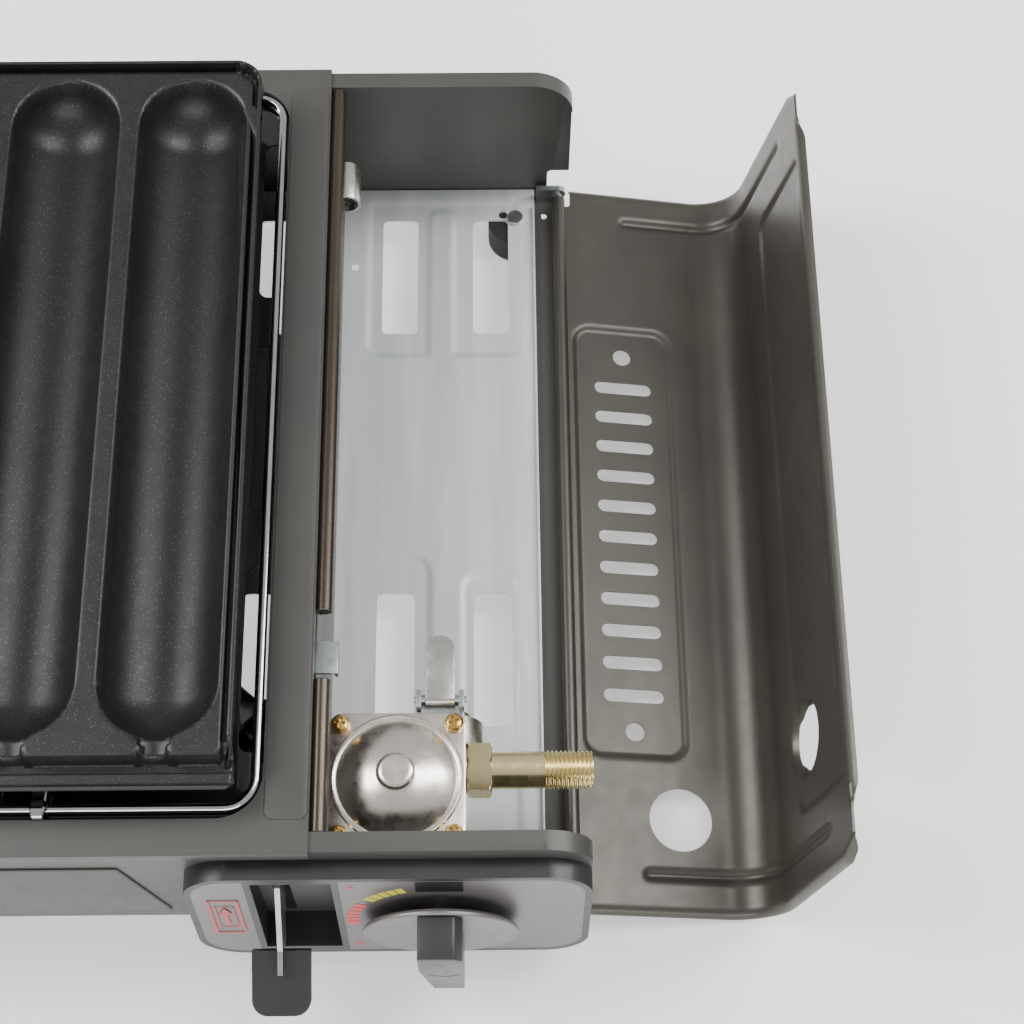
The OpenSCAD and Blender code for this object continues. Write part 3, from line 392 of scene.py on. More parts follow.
def carve(bm, cutters):
    """Cuts each cutter's solid out of a solid."""
    objs = []
    for part in (bm, *cutters):
        bmesh.ops.recalc_face_normals(part, faces=part.faces)
        mesh = bpy.data.meshes.new("carve")
        part.to_mesh(mesh)
        part.free()
        obj = bpy.data.objects.new("carve", mesh)
        bpy.context.scene.collection.objects.link(obj)
        objs.append(obj)
    for cutter in objs[1:]:
        mod = objs[0].modifiers.new("cut", "BOOLEAN")
        mod.operation = "DIFFERENCE"
        mod.solver = "EXACT"
        mod.object = cutter
    bpy.context.view_layer.update()
    cooked = objs[0].evaluated_get(bpy.context.evaluated_depsgraph_get())
    out = bmesh.new()
    out.from_mesh(cooked.to_mesh())
    cooked.to_mesh_clear()
    for obj in objs:
        mesh = obj.data
        bpy.data.objects.remove(obj)
        bpy.data.meshes.remove(mesh)
    return out


def block(x0, x1, y0, y1, z0, z1):
    """Plain cutter for carve."""
    bm = bmesh.new()
    box(bm, x0, x1, y0, y1, z0, z1)
    return bm


def thicken(bm, thickness):
    """Gives a sheet its thickness, half to each side, and closes its edges."""
    bmesh.ops.remove_doubles(bm, verts=bm.verts, dist=1e-4)
    bmesh.ops.recalc_face_normals(bm, faces=bm.faces)
    bm.normal_update()
    faces = list(bm.faces)
    rims = [loop for face in faces for loop in face.loops if loop.edge.is_boundary]
    rims = [(loop.vert, loop.link_loop_next.vert) for loop in rims]
    half = {v: v.normal * thickness / 2 for v in bm.verts}
    twin = {v: bm.verts.new(v.co - off) for v, off in half.items()}
    for v, off in half.items():
        v.co += off
    for face in faces:
        bm.faces.new([twin[v] for v in reversed(face.verts)])
    for a, c in rims:
        bm.faces.new((c, a, twin[a], twin[c]))
    return bm


def rect_field(u, v, u0, u1, v0, v1, r):
    """Signed distance to a rectangle with round corners; negative inside."""
    du = abs(u - (u0 + u1) / 2) - (u1 - u0) / 2 + r
    dv = abs(v - (v0 + v1) / 2) - (v1 - v0) / 2 + r
    return math.hypot(max(du, 0), max(dv, 0)) + min(max(du, dv), 0) - r


def slot_field(u, v, cu, cv, length, width):
    """Signed distance to a slot whose length runs along u."""
    return math.hypot(max(abs(u - cu) - (length - width) / 2, 0), v - cv) - width / 2


# ---------------------------------------------------------------- cover

OPEN = math.radians(101)
HINGE_X, HINGE_Z = -4.0, 3.6


def opened(x, y, z):
    """Where a point of the closed cover lies while the cover is open, as it is at rest."""
    dx, dz = x - HINGE_X, z - HINGE_Z
    return (HINGE_X + dx * math.cos(OPEN) + dz * math.sin(OPEN), y,
            HINGE_Z - dx * math.sin(OPEN) + dz * math.cos(OPEN))


# Cross-section of the closed cover as arcs and straights: curl, joggle, side, bend, top, lip
CURL_R, JOG_R, BEND_R, LIP_R = 2.05, 1.0, 15.8, 1.0
SECTION = [("arc", HINGE_X, HINGE_Z, CURL_R, 330, 90), ("line", -4, 5.65, -0.2, 5.65),
           ("arc", -0.2, 6.65, JOG_R, -90, 0), ("line", 0.8, 6.65, 0.8, 55.5),
           ("arc", -15, 55.5, BEND_R, 0, 90), ("line", -15, 71.3, -77.4, 71.3),
           ("arc", -77.4, 72.3, LIP_R, -90, -180), ("line", -78.4, 72.3, -78.4, 73.9)]


def part_length(part):
    if part[0] == "arc":
        return abs(math.radians(part[5] - part[4])) * part[3]
    return math.hypot(part[3] - part[1], part[4] - part[2])


LIP_PART = 6
STARTS = [0.0]
for part in SECTION:
    STARTS.append(STARTS[-1] + part_length(part))
SIDE_U, TOP_U, LIP_U, END_U = STARTS[3], STARTS[5], STARTS[6], STARTS[8]


def section(u):
    """Point (x, z) and outward direction of the closed cover at distance u from the curl's edge."""
    k = max(i for i in range(len(SECTION)) if STARTS[i] <= u + 1e-9)
    part = SECTION[k]
    t = min(1.0, (u - STARTS[k]) / part_length(part))
    if part[0] == "arc":
        a = math.radians(part[4] + (part[5] - part[4]) * t)
        c, s = math.cos(a), math.sin(a)
        flip = -1 if k == LIP_PART else 1
        return part[1] + part[3] * c, part[2] + part[3] * s, c * flip, s * flip
    dx, dz = part[3] - part[1], part[4] - part[2]
    n = math.hypot(dx, dz)
    return part[1] + dx * t, part[2] + dz * t, dz / n, -dx / n


# Height at which the cover's side starts, and the row of air slots in it with a round hole at each end
SIDE_Z = 6.65
SLOT_MID, SLOT_COUNT, SLOT_PITCH, SLOT_LENGTH, SLOT_WIDTH = 133.5, 11, 11.75, 21.0, 4.8
END_HOLE_OFFSET, END_HOLE_R = 71.55, 3.3
SLOT_Y = [SLOT_MID + (i - SLOT_COUNT // 2) * SLOT_PITCH for i in range(SLOT_COUNT)]
SLOT_U = SIDE_U + 27.3 - SIDE_Z
# Holes that the gas hose passes through, as (u, v)
HOSE_HOLE_R = 10.7
HOLES = [(SIDE_U + 41.5 - SIDE_Z, 31.8), (TOP_U + 25.5, 48.6)]


def cover_hole(u, v):
    """Distance to the nearest cut-out: slots, round holes and the two corners beside the hinge's curl."""
    found = [slot_field(u, v, SLOT_U, y, SLOT_LENGTH, SLOT_WIDTH) for y in SLOT_Y if abs(v - y) < 8]
    found += [math.hypot(u - SLOT_U, v - SLOT_MID - s * END_HOLE_OFFSET) - END_HOLE_R for s in (-1, 1)]
    found += [math.hypot(u - cu, v - cv) - HOSE_HOLE_R for cu, cv in HOLES]
    foot = SIDE_U + 2.5
    found.append(rect_field(u, v, -20, foot, -20, 8, 1.5))
    found.append(rect_field(u, v, -20, foot, DEPTH - 8, DEPTH + 20, 1.5))
    return min(found)


def cover_emboss(u, v):
    """How far the sheet is pressed outwards at a point."""
    panel = rect_field(u, v, SIDE_U + 2.0, SIDE_U + 38.8, 52, 217, 7)
    out = 1.0 * smooth(-panel / 1.8)
    rib_mid, rib_half = (SIDE_U + TOP_U + 42 + 23.4) / 2, (TOP_U + 42 - SIDE_U - 23.4) / 2
    for y in (13.0, DEPTH - 13.0):
        rib = math.hypot(max(abs(u - rib_mid) - rib_half, 0), v - y) - 2.6
        out += 1.2 * smooth(-rib / 2.2)
    upper = rect_field(u, v, TOP_U + 17, END_U + 60, 24, DEPTH - 29, 6)
    out += 0.9 * smooth(-upper / 2.0) * (1 - smooth((u - LIP_U + 4) / 4))
    flare = math.hypot(u - HOLES[1][0], v - HOLES[1][1]) - HOSE_HOLE_R
    out += 2.2 * (1 - min(1.0, max(flare, 0.0) / 2.6)) ** 2
    return out


def cover_point(u, v):
    """Place of a sheet point on the open cover, with its rounded ends, pressed ribs and cut corners."""
    x, z, nx, nz = section(u)
    out = cover_emboss(u, v)
    if u > LIP_U:
        w = smooth((v - 10) / 14) * smooth((DEPTH - 10 - v) / 14)
        t = (u - LIP_U) / (END_U - LIP_U)
        x, z = x * w + (-77.4 - 1.4 * t) * (1 - w), z * w + 71.3 * (1 - w)
        nx, nz = nx * w, nz * w + (1 - w)
    near = min(v, DEPTH - v)
    y = near
    if near < 3.0:
        a = (3.0 - near) / 3.0 * math.pi / 2
        y = 3.0 - 3.0 * math.sin(a)
        out += 2.4 * (1 - math.cos(a)) * smooth((END_U - u) / 7)
    cut = max(0.0, u - (LIP_U - 7)) * 0.62
    y += cut * max(0.0, 1 - near / 22)
    y = y if v < DEPTH / 2 else DEPTH - y
    return opened(x + nx * out, y, z + nz * out)


across = [(0, SIDE_U + 2.5, 0.9), (SIDE_U + 2.5, SIDE_U + 45, 1.0), (SIDE_U + 45, TOP_U, 1.6),
          (TOP_U, TOP_U + 39, 1.05), (TOP_U + 39, TOP_U + 44, 1.2), (LIP_U - 4, END_U, 0.8)]
along = [(0, 3, 0.5), (3, 62, 1.03), (62, 205, 1.0), (205, 220, 1.03),
         (DEPTH - 33, DEPTH - 3, 1.05), (DEPTH - 3, DEPTH, 0.5)]
bm = skin(lines(0, END_U, 4.0, across), lines(0, DEPTH, 3.0, along), cover_point, cover_hole)
add_object("cover_skin", thicken(bm, SHEET), "cover", "cover_paint", ["cover"], 40)


# ---------------------------------------------------------------- floor plate

# Right edges of the vents: two in the bay, the rest under the burner up to the plate's left end
VENT_WIDTH, VENT_LENGTH, VENT_PITCH = 13.0, 48.2, 33.2
VENT_X = [-22.7, -55.9] + [-101.5 - VENT_PITCH * i for i in range(7)]
VENT_Y = (62.3, 212.4)
VENTS = [(x - VENT_WIDTH, x, y, y + VENT_LENGTH) for x in VENT_X if x - VENT_WIDTH > -315 for y in VENT_Y]
# Round holes in the plate, as (x, y, radius)
PLATE_HOLES = [(-12.5 - 7, 14, 1.8), (-12.5 - 7, 261, 1.8), (-24.5, 263.0, 1.7), (-79.0, 240.5, 1.5)]


# Distance that stands for no hole near
CLEAR = 9.0


def floor_hole(u, v):
    """Distance to the nearest vent or hole."""
    found = [rect_field(u, v, x0, x1, y0, y1, 2.0) for x0, x1, y0, y1 in VENTS
             if abs(u - x0 - VENT_WIDTH / 2) < 30]
    found += [math.hypot(u - x, v - y) - r for x, y, r in PLATE_HOLES]
    return min(found + [CLEAR])


def floor_emboss(u, v):
    """Shallow pressed fields around the vents; the back one is divided by a raised finger."""
    back = max(rect_field(u, v, -74.6, 0, 202.4, 300, 6), -rect_field(u, v, -51.1, -43.6, 150, 263.9, 3.7))
    left = rect_field(u, v, -110, -50.0, -30, 124, 6)
    right = rect_field(u, v, -40.2, -20, -30, 118, 6)
    return 0.6 * smooth(-min(back, left, right) / 1.5) * smooth((270 - v) / 4) * smooth((-18 - u) / 3)


us = lines(-344, -12.8, 6.0, [(-96, -14, 1.0), (-130, -96, 1.3)])
vs = lines(1.2, DEPTH - 1.2, 4.0, [(48, 128, 1.2), (198, 273.8, 1.2), (10, 18, 1.2)])
bm = thicken(skin(us, vs, lambda u, v: (u, v, -SHEET / 2 - (floor_emboss(u, v) if u > -112 else 0.0)),
                  lambda u, v: floor_hole(u, v) if u > -130 else CLEAR), SHEET)
box(bm, -13.6, -12.8, 9.2, DEPTH - 9.2, -0.2, 2.0, 0.25)
add_object("floor_sheet", bm, "stove", "floor_steel", ["floor_plate"])


# ---------------------------------------------------------------- pieces rounded from their CAD shapes

# Edges that turn by more than this are rounded
TURN = math.radians(40)


def soften(node, body, fold, rim=0.25, edge_mat=None):
    """Copy of a CAD piece with its folds and corners rounded by fold and its thin sheet edges by rim."""
    bm = bmesh.new()
    source = frame["nodes"][node]
    bm.from_mesh(source.data)
    bm.transform(source.matrix_world)
    for v in bm.verts:
        v.co = (v.co - ORIGIN) * 1000
    bmesh.ops.remove_doubles(bm, verts=bm.verts, dist=1e-3)
    bmesh.ops.dissolve_limit(bm, angle_limit=math.radians(0.6), verts=bm.verts, edges=bm.edges)
    wide = {f: f.calc_area() / max(1e-6, f.calc_perimeter()) > 0.8 for f in bm.faces}

    def sharp_edges(thin):
        found = []
        for e in bm.edges:
            if len(e.link_faces) == 2 and e.calc_face_angle(0) > TURN:
                broad = all(wide.get(f, False) for f in e.link_faces)
                if broad != thin and (thin or e.is_convex):
                    found.append(e)
        return found

    for offset, thin in ((fold, False), (rim, True)):
        edges = sharp_edges(thin) if offset else []
        if edges:
            bmesh.ops.bevel(bm, geom=edges, affect="EDGES", offset=offset, offset_type="OFFSET", segments=3,
                            profile=0.5, clamp_overlap=True, material=1 if edge_mat else -1)
    obj = add_object(node + "_soft", bm, body, NODE_SLOT[node], [node], 24)
    if edge_mat:
        obj.data.materials.append(edge_mat)
    return obj


soften("body_shell", "stove", 0.9)
soften("top_panel", "stove", 0.9)
soften("divider_wall", "stove", 0.8)
soften("control_panel", "stove", 1.6, 0.3)
soften("label_left", "stove", 0.45, 0.0, edge_mat=PRINT["black"])
soften("label_right", "stove", 0.45, 0.0, edge_mat=PRINT["black"])
soften("regulator_body", "stove", 0.8, 0.3)
soften("lever_paddle", "lock_lever", 1.2, 0.4)
soften("latch_tab", "latch_tab", 0.4, 0.25)
soften("latch_bracket", "stove", 0.4, 0.25)
soften("lock_slide", "lock_slide", 0.4, 0.2)
soften("spring_clip", "stove", 0.4, 0.2)
soften("igniter", "stove", 0.6, 0.3)


# ---------------------------------------------------------------- grill plate

PLATE_LO, PLATE_HI = local_box("grill_plate")
TROUGH_PITCH = 41.6
TROUGHS = [(PLATE_LO[0] + PLATE_HI[0]) / 2 + (k - 2) * TROUGH_PITCH for k in range(5)]
TROUGH_R, ARC_FRONT, ARC_BACK = 17.4, 45.7, 238.5
SHELF_Y, RIM_TOP = PLATE_LO[1], PLATE_HI[2]
DECK_Z = RIM_TOP - 2.4
AXIS_Z = DECK_Z - 1.0
EDGE_R, CAST = 1.0, 2.8
DECK_FRONT = 22.0
RIM_W, GROOVE_W = 1.7, 1.5


def soft_min(a, b, k):
    """Smaller of two distances, blended over k where they are close."""
    h = max(k - abs(a - b), 0.0) / k
    return min(a, b) - h * h * k / 4


def trough_spot(x, y):
    """Nearest trough: sideways offset from its centre line and distance from its axis segment."""
    cx = min(TROUGHS, key=lambda c: abs(x - c))
    dy = max(ARC_FRONT - y, y - ARC_BACK, 0.0)
    return x - cx, math.hypot(x - cx, dy)


def deck_inset(x, y):
    """Distance inside the deck's outer outline, which leaves a rim and a groove around it."""
    side = RIM_W + GROOVE_W
    r = 2.5 if y < 100 else 7.0
    return -rect_field(x, y, PLATE_LO[0] + side, PLATE_HI[0] - side, DECK_FRONT, PLATE_HI[1] - side - 1.2, r)


def deck_field(x, y):
    """Distance inside the deck, measured from its rounded edges."""
    dx, far = trough_spot(x, y)
    drain = max(abs(dx) - 3.6, y - ARC_FRONT)
    opening = soft_min(far - TROUGH_R, drain, 4.0)
    return soft_min(deck_inset(x, y), opening, 3.0 if y < 34 else 0.3)


def plate_top(x, y):
    """Height of the casting's upper face: deck, troughs, drains, front shelf, groove and rim."""
    d = deck_field(x, y)
    if d > EDGE_R:
        return DECK_Z
    if d > 0:
        return DECK_Z - EDGE_R + math.sqrt(EDGE_R ** 2 - (EDGE_R - d) ** 2)
    dx, far = trough_spot(x, y)
    low = DECK_Z - EDGE_R
    if deck_inset(x, y) > 0:
        if far < TROUGH_R:
            low = min(low, AXIS_Z - math.sqrt(TROUGH_R ** 2 - far ** 2))
        if y < ARC_FRONT - 8:
            step = 3.0 * smooth((DECK_FRONT + 2.0 - y) / 2.5)
            low = min(low, DECK_Z - 4.4 + 1.0 * min(1.5, abs(dx) / 3.8) ** 2 - step)
        return low
    rim = -rect_field(x, y, PLATE_LO[0], PLATE_HI[0], SHELF_Y, PLATE_HI[1], 3.0 if y < 100 else 10.0)
    if y < DECK_FRONT:
        floor_z = DECK_Z - 7.4
        shelf = DECK_Z - 6.2 - 0.1 * (20 - y)
        floor_z += (shelf - floor_z) * smooth((19.6 - y) / 0.9)
        floor_z += 1.0 * smooth((SHELF_Y + 1.4 - y) / 0.6) - 0.9 * smooth((SHELF_Y + 0.5 - y) / 0.5)
        return floor_z - 1.2 * smooth((1.0 - rim) / 1.0) * smooth((y - SHELF_Y - 1) / 1)
    floor_z = DECK_Z - 3.2
    down = 6.0 * smooth((28 - y) / 4)
    top = DECK_Z + 1.1 - down
    top -= 0.7 - math.sqrt(max(0.0, 0.49 - (0.7 - min(0.7, max(0.0, rim))) ** 2))
    wall = smooth((RIM_W + 0.25 - rim) / 0.5)
    return floor_z - down * 0.6 + (top - floor_z + down * 0.6) * wall


def plate_bottom(x, y):
    """Height of the casting's lower face, which follows the troughs."""
    dx, far = trough_spot(x, y)
    out = TROUGH_R + CAST
    low = DECK_Z - CAST - 4.6 * smooth((26 - y) / 3)
    low = min(low, plate_top(x, y) - 1.0)
    return min(low, AXIS_Z - math.sqrt(out ** 2 - far ** 2)) if far < out else low


# Grid lines: close together over the rim and groove, and over each trough's edge
EDGE_STEPS = (0, 0.3, 0.7, 1.2, 1.5, 1.95, 2.4, 2.9, 3.2, 3.45, 3.8, 4.2)
TROUGH_STEPS = [0.95 * k for k in range(18)] + [16.7, 17.1, 17.4, 17.65, 18.0, 18.4, 19.2]
edge_lines = {PLATE_LO[0] + t for t in EDGE_STEPS} | {PLATE_HI[0] - t for t in EDGE_STEPS}
inner = [cx + s * t for cx in TROUGHS for s in (-1, 1) for t in TROUGH_STEPS]
inner = [v for v in inner if PLATE_LO[0] + 4.3 < v < PLATE_HI[0] - 4.3]
xs = sorted({round(v, 4) for v in inner} | {round(v, 4) for v in edge_lines})
xs = [v for i, v in enumerate(xs) if i == 0 or v - xs[i - 1] > 0.12]
ys = lines(SHELF_Y, PLATE_HI[1], 7.0, [(SHELF_Y, 60, 0.62), (60, 64, 2.0), (222, 226, 2.0), (226, 258, 0.75),
                                       (258, PLATE_HI[1], 0.5)])
bm = bmesh.new()
tops, bottoms = [], []
for x in xs:
    line, under = [], []
    for y in ys:
        px, py = x, y
        d = deck_field(x, y)
        if abs(d) < 0.4 and PLATE_LO[0] + 5 < x < PLATE_HI[0] - 5 and SHELF_Y + 2 < y < PLATE_HI[1] - 5:
            gx = deck_field(x + SLOPE_STEP, y) - deck_field(x - SLOPE_STEP, y)
            gy = deck_field(x, y + SLOPE_STEP) - deck_field(x, y - SLOPE_STEP)
            size = math.hypot(gx, gy)
            if size > 0.02:
                px, py = x - d * gx / size, y - d * gy / size
        bend = 3.0 if py < 100 else 10.0
        if rect_field(px, py, PLATE_LO[0], PLATE_HI[0], SHELF_Y, PLATE_HI[1], bend) > 0:
            ccx = PLATE_LO[0] + bend if px < TROUGHS[2] else PLATE_HI[0] - bend
            ccy = SHELF_Y + bend if py < 100 else PLATE_HI[1] - bend
            reach = math.hypot(px - ccx, py - ccy)
            px, py = ccx + (px - ccx) * bend / reach, ccy + (py - ccy) * bend / reach
        line.append(bm.verts.new((px, py, plate_top(px, py))))
        under.append(bm.verts.new((px, py, plate_bottom(px, py))))
    tops.append(line)
    bottoms.append(under)
nx, ny = len(xs), len(ys)
for i in range(nx - 1):
    for j in range(ny - 1):
        bm.faces.new((tops[i][j], tops[i + 1][j], tops[i + 1][j + 1], tops[i][j + 1]))
        bm.faces.new((bottoms[i][j + 1], bottoms[i + 1][j + 1], bottoms[i + 1][j], bottoms[i][j]))
border = ([(i, 0) for i in range(nx)] + [(nx - 1, j) for j in range(1, ny)]
          + [(i, ny - 1) for i in range(nx - 2, -1, -1)] + [(0, j) for j in range(ny - 2, 0, -1)])
for (a, b), (c, d) in zip(border, border[1:] + border[:1]):
    bm.faces.new((tops[a][b], bottoms[a][b], bottoms[c][d], tops[c][d]))
bmesh.ops.dissolve_degenerate(bm, dist=1e-4, edges=bm.edges)
add_object("grill_plate_cast", bm, "grill_plate", "plate_coating", ["grill_plate"], 50)


# ---------------------------------------------------------------- regulator

COVER_LO, COVER_HI = local_box("regulator_cover")
REG_X, REG_Y = (COVER_LO[0] + COVER_HI[0]) / 2, (COVER_LO[1] + COVER_HI[1]) / 2
LID_T, LID_HALF, SCREW_INSET = 2.0, 21.0, 3.6
LID_Z = COVER_LO[2] + LID_T
bm = bmesh.new()
outline = [(p[0], p[1]) for p in round_rect(COVER_LO[0], COVER_HI[0], COVER_LO[1], COVER_HI[1], 4.0, 0)]
prism(bm, outline, Matrix.Translation((0, 0, COVER_LO[2])), LID_T, 0.45, 3)
DOME_R, DOME_H, BOSS_R = 18.4, 7.2, 5.4
ball = (DOME_R ** 2 + DOME_H ** 2) / (2 * DOME_H)
dome = [(20.5, -0.3), (20.4, 0.2), (20.0, 0.55), (19.5, 0.6), (19.1, 0.3), (18.8, 0.15)]
for k in range(17):
    r = DOME_R - (DOME_R - BOSS_R - 0.8) * k / 16
    dome.append((r, math.sqrt(ball ** 2 - r ** 2) - ball + DOME_H + 0.15))
dome += [(BOSS_R + 0.3, DOME_H - 0.35), (BOSS_R, DOME_H + 0.1), (BOSS_R - 0.2, 8.1), (BOSS_R - 0.7, 8.42),
         (BOSS_R - 1.5, 8.5), (POLE_R, 8.5)]
lathe(bm, dome, Matrix.Translation((REG_X, REG_Y, LID_Z)), 72)
add_object("regulator_cover_dome", bm, "stove", "regulator_zinc", ["regulator_cover"], 34)

bm = bmesh.new()
for k, (sx, sy) in enumerate(((-1, -1), (1, -1), (-1, 1), (1, 1))):
    x = REG_X + sx * (LID_HALF - SCREW_INSET)
    y = REG_Y + sy * (LID_HALF - SCREW_INSET)
    head = bmesh.new()
    lathe(head, [(POLE_R, -5.0), (1.4, -5.0), (1.4, 0.0), (2.9, 0.0), (2.9, 0.9), (2.7, 1.5),
                 (2.2, 2.0), (1.4, 2.2), (POLE_R, 2.25)], Matrix.Identity(4), 32)
    turned = Matrix.Rotation(math.radians(17 + 31 * k), 4, "Z")
    cuts = [block(-1.75, 1.75, -0.42, 0.42, 1.0, 3.0), block(-0.42, 0.42, -1.75, 1.75, 1.0, 3.0)]
    for cut in cuts:
        cut.transform(turned)
    head = carve(head, cuts)
    head.transform(Matrix.Translation((x, y, LID_Z)))
    copy_into(bm, head)
add_object("regulator_screw_heads", bm, "stove", "yellow_zinc", ["regulator_screws"], 30)


# ---------------------------------------------------------------- gas inlet

PIPE_LO, PIPE_HI = local_box("inlet_pipe")
INLET_Y, INLET_Z = (PIPE_LO[1] + PIPE_HI[1]) / 2, (PIPE_LO[2] + PIPE_HI[2]) / 2
THREAD_LEN, PITCH, MAJOR = 14.9, 1.35, 6.0
along_x = Matrix.Translation((PIPE_LO[0], INLET_Y, INLET_Z)) @ Matrix.Rotation(math.pi / 2, 4, "Y")
LENGTH = PIPE_HI[0] - PIPE_LO[0]
START = LENGTH - THREAD_LEN


def thread_radius(h, a):
    """Radius of the screw thread at a height and an angle."""
    if h < START:
        return 5.75 if h < START - 0.4 else 5.45
    phase = ((h - START) / PITCH - a / (2 * math.pi)) % 1.0
    tooth = 1 - abs(2 * phase - 1)
    fade = min(1.0, (LENGTH - h) / 0.7)
    return (MAJOR - 0.72 + 0.72 * smooth(tooth * 1.25)) * (0.9 + 0.1 * fade)


bm = bmesh.new()
heights = [0.0, START - 0.9, START - 0.41, START - 0.39, START - 0.01]
heights += [START + THREAD_LEN * k / 99 for k in range(100)]
SIDES = 56
rings = []
for h in heights:
    rings.append([along_x @ Vector((thread_radius(h, a) * math.cos(a), thread_radius(h, a) * math.sin(a), h))
                  for a in [2 * math.pi * k / SIDES for k in range(SIDES)]])
for r, h in ((3.3, LENGTH), (3.0, LENGTH - 0.4), (3.0, LENGTH - 12.0), (0.4, LENGTH - 13.0)):
    rings.append([along_x @ Vector((r * math.cos(a), r * math.sin(a), h))
                  for a in [2 * math.pi * k / SIDES for k in range(SIDES)]])
loft(bm, rings)
add_object("inlet_pipe_threaded", bm, "stove", "inlet_brass", ["inlet_pipe"], 40)

NUT_LO, NUT_HI = local_box("inlet_nut")
ACROSS = 15.0
bm = bmesh.new()
rings = []
width = NUT_HI[0] - NUT_LO[0]
near_end = [0, 0.15, 0.35, 0.6, 0.9, 1.3]
nut_place = Matrix.Translation((NUT_LO[0], INLET_Y, INLET_Z))
for h in near_end + [width / 2] + [width - t for t in reversed(near_end)]:
    ring = []
    end = min(h, width - h)
    for k in range(72):
        a = 2 * math.pi * k / 72
        off = (a + math.pi / 6) % (math.pi / 3) - math.pi / 6
        r = min(ACROSS / 2 / math.cos(off), 7.35 + 1.5 * end)
        ring.append(nut_place @ Vector((h, r * math.cos(a), r * math.sin(a))))
    rings.append(ring)
loft(bm, rings)
add_object("inlet_nut_hex", bm, "stove", "inlet_brass", ["inlet_nut"], 25)


# ---------------------------------------------------------------- dial and printed marks

KNOB_X, KNOB_Z = -45.8, 27.0
KNOB_BACK = local_box("knob")[1][1]
LEAN = math.radians(5)
FACE_LO = local_box("label_right")[0]


def frame_at(x, y, z, lean):
    """Matrix with its X to the right, its Y up the panel and its Z out of it."""
    c, s = math.cos(lean), math.sin(lean)
    return Matrix.Translation((x, y, z)) @ Matrix(((1, 0, 0), (0, s, -c), (0, c, s))).to_4x4()


knob_frame = frame_at(KNOB_X, KNOB_BACK, KNOB_Z, 0.0)
face_y = FACE_LO[1] + (KNOB_Z - FACE_LO[2]) * math.tan(LEAN)
label_frame = frame_at(KNOB_X, face_y, KNOB_Z, LEAN)
bm = bmesh.new()
disc = [(4.0, 0.0), (22.6, 0.0), (23.4, 0.5), (23.8, 1.1), (23.8, 1.7), (23.5, 2.1), (POLE_R, 2.1)]
lathe(bm, disc, knob_frame, 96)
add_object("dial_disc", bm, "knob", "label_foil", [], 30)
bm = bmesh.new()
grip = [(-6.5, 22.0), (-6.5, 6.0), (-2.6, -17.0), (7.0, -17.0), (7.0, 19.4), (4.4, 22.0)]
prism(bm, list(reversed(grip)), knob_frame @ Matrix.Translation((0, 0, 2.0)), 13.2, 0.5, 3)
add_object("dial_grip", bm, "knob", "knob_plastic", ["knob"], 24)


def stroke(bm, place, x0, y0, x1, y1, width=0.5, height=0.08):
    """Straight printed or engraved line."""
    d = Vector((x1 - x0, y1 - y0))
    n = Vector((-d.y, d.x)).normalized() * width / 2
    outline = [(x0 - n.x, y0 - n.y), (x1 - n.x, y1 - n.y), (x1 + n.x, y1 + n.y), (x0 + n.x, y0 + n.y)]
    prism(bm, outline, place, height)


def sector(bm, place, r0, r1, a0, a1, height=0.1, steps=4):
    """Piece of a printed ring between two angles in degrees."""
    turns = [math.radians(a0 + (a1 - a0) * k / steps) for k in range(steps + 1)]
    ring = [(r0 * math.cos(a), r0 * math.sin(a)) for a in turns]
    ring += [(r1 * math.cos(a), r1 * math.sin(a)) for a in reversed(turns)]
    prism(bm, ring, place, height)


front = knob_frame @ Matrix.Translation((0, 0, 15.17))
bm = bmesh.new()
stroke(bm, front, -2.2, 21.4, -2.2, 15.6, 0.9)
stroke(bm, front, -2.2, 15.6, 0.9, 13.6, 1.0)
stroke(bm, front, 2.2, 6.2, 1.4, 3.0, 0.5)
sector(bm, front @ Matrix.Translation((1.0, 5.2, 0)), 5.1, 5.7, 215, 325, 0.08, 10)
add_object("dial_marks", bm, "knob", "knob_plastic", [], 30, PRINT["black"])

bm = bmesh.new()
for k in range(5):
    sector(bm, label_frame, 25.4, 29.2, 112 + 6.2 * k, 117 + 6.2 * k)
add_object("heat_scale_low", bm, "stove", "label_foil", [], 30, PRINT["yellow"])
bm = bmesh.new()
for k in range(6):
    sector(bm, label_frame, 25.0, 28.9, 150 + 6.6 * k, 155.9 + 6.6 * k)
for u, v, s in ((-26.2, 27.6, 1.0), (-26.0, -23.0, 1.0)):
    prism(bm, [(u - 1.6, v - s), (u + 1.6, v), (u - 0.4, v + 1.4 * s)], label_frame, 0.1)
mark = frame_at(-110.9, face_y + 0.06, 30.6, LEAN)
for r, w in ((0.0, 0.8), (1.7, 0.4)):
    x0, x1, y0, y1 = -4.4 + r, 4.4 - r, -14 + 3 * r, 14 - 3 * r
    for line in ((x0, y0, x1, y0), (x1, y0, x1, y1), (x1, y1, x0, y1), (x0, y1, x0, y0)):
        stroke(bm, mark, *line, w, 0.1)
stroke(bm, mark, 0, -7, 0, 7, 1.1, 0.1)
prism(bm, [(-2.0, 3.0), (2.0, 3.0), (0.0, 8.0)], mark, 0.12)
add_object("heat_scale_high", bm, "stove", "label_foil", [], 30, PRINT["red"])
bm = bmesh.new()
prism(bm, [(-6.9, 24.3), (7.3, 24.3), (7.3, 32.3), (-6.9, 32.3)], label_frame, 0.12)
add_object("dial_window", bm, "stove", "label_foil", [], 30, PRINT["black"])


# ---------------------------------------------------------------- support wire's bent end

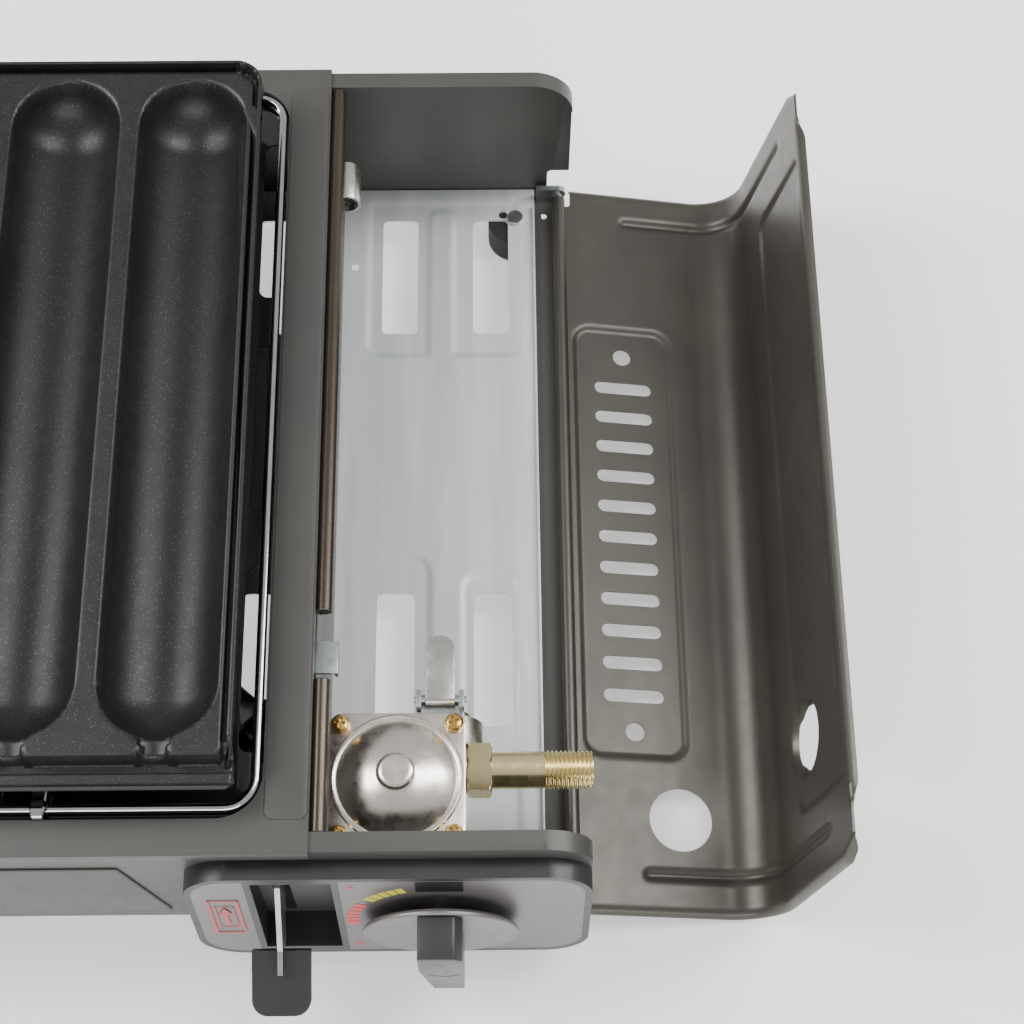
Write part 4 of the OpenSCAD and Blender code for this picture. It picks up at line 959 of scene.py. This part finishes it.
bm = bmesh.new()
TONGUE_X = -161.9
tongue = [(0, 20.0, 71.6), (0, 15.0, 72.6), (0, 12.6, 73.6), (0, 10.7, 72.8), (0, 10.6, 70.6)]
path = bend_path(tongue, 1.6, 5)
rings = []
for i, p in enumerate(path):
    t = i / (len(path) - 1)
    half = 2.2 - 0.7 * smooth((t - 0.55) / 0.45)
    back = path[max(0, i - 1)]
    ahead = path[min(len(path) - 1, i + 1)]
    n = Vector((0, -(ahead - back).z, (ahead - back).y)).normalized()
    rings.append([Vector((TONGUE_X + sx * half, p.y, p.z)) - n * off for sx, off in
                  ((1, 0.45), (0.8, 0.0), (-0.8, 0.0), (-1, 0.45), (-0.8, 0.95), (0.8, 0.95))])
loft(bm, rings)
add_object("wire_tongue", bm, "plate_support", "wire_chrome", [], 35)


# ---------------------------------------------------------------- pressed panels and the wall's rolled bead

bm = bmesh.new()
prism(bm, [(-331, 7), (-131, 7), (-141, 55), (-331, 55)], frame_at(0, 0.4, 0, 0.0), 1.2, 0.9, 3)
add_object("front_pressing", bm, "stove", "body_paint", [], 24)

TOP_HI = local_box("top_panel")[1]
bm = bmesh.new()
strip = [(p[0], p[1]) for p in round_rect(-96.4, TOP_HI[0] - 0.5, 9.5, DEPTH - 8.5, 2.6, 0)]
prism(bm, strip, Matrix.Translation((0, 0, TOP_HI[2] - 0.3)), 0.75, 0.4, 3)
add_object("bridge_strip", bm, "stove", "body_paint", [], 24)

BEAD_X, BEAD_Z, BEAD_R = -80.9, 67.4, 2.66
# The bead is body paint like the rest of the wall. Its own browner, more metallic copy of that paint is a
# painted warm reflection, standing in for the brown highlight along the bead.
painted_bead_reflection = coated("bead_painted_warm_reflection", "#4a4239", "#524a40", 0.3, 0.75, 0.4, 0.012)
bm = bmesh.new()
for y0, y1 in ((6.6, 53.6), (76.4, DEPTH - 6.6)):
    tube(bm, [(BEAD_X, y0, BEAD_Z), (BEAD_X, y1, BEAD_Z)], BEAD_R, 32)
add_object("wall_bead", bm, "stove", "body_paint", [], 40, painted_bead_reflection)


# ---------------------------------------------------------------- studio

floor = bpy.data.meshes.new("floor")
floor.from_pydata([(-6, -6, 0), (6, -6, 0), (6, 6, 0), (-6, 6, 0)], [], [(0, 1, 2, 3)])
floor_obj = bpy.data.objects.new("table", floor)
bpy.context.scene.collection.objects.link(floor_obj)
pale = Graph("pale_floor")
pale.set(Base_Color=srgb("#f4f4f4"), Roughness=0.8, Emission_Color=srgb("#ffffff"), Emission_Strength=0.5)
floor.materials.append(pale.mat)


def lamp(name, place, target, size, power):
    light = bpy.data.lights.new(name, "AREA")
    light.shape = "RECTANGLE"
    light.size, light.size_y = size
    light.energy = power
    obj = bpy.data.objects.new(name, light)
    obj.location = place
    obj.rotation_euler = (Vector(target) - Vector(place)).to_track_quat("-Z", "Y").to_euler()
    bpy.context.scene.collection.objects.link(obj)


lamp("left", (-1.25, 0.25, 1.15), (0.0, 0.0, 0.05), (0.7, 1.6), 34)
lamp("right", (1.15, 0.35, 1.35), (0.0, 0.0, 0.05), (0.5, 1.6), 26)
lamp("front", (0.1, -1.6, 0.7), (0.0, 0.0, 0.05), (1.6, 0.7), 14)
world = bpy.data.worlds.new("studio")
bpy.context.scene.world = world
world.use_nodes = True
world.node_tree.nodes["Background"].inputs["Color"].default_value = (1.0, 1.0, 1.0, 1.0)
world.node_tree.nodes["Background"].inputs["Strength"].default_value = 0.62

# The camera looks steeply down from in front of the stove: its place in stove millimetres, its heading
# to the right of straight back, its tilt below level and its turn about the line of sight
CAMERA_PLACE = (-27.958, -167.84, 665.156)
CAMERA_HEADING, CAMERA_TILT, CAMERA_TURN = 1.0356, 65.1172, 0.4875
camera = bpy.data.cameras.new("camera")
camera.sensor_width = 36.0
camera.lens = 74.04
camera.clip_end = 20.0
cam = bpy.data.objects.new("camera", camera)
cam.matrix_world = (Matrix.Translation(row(CAMERA_PLACE))
                    @ Matrix.Rotation(math.radians(-CAMERA_HEADING), 4, "Z")
                    @ Matrix.Rotation(math.radians(90 - CAMERA_TILT), 4, "X")
                    @ Matrix.Rotation(math.radians(CAMERA_TURN), 4, "Z"))
bpy.context.scene.collection.objects.link(cam)
bpy.context.scene.camera = cam
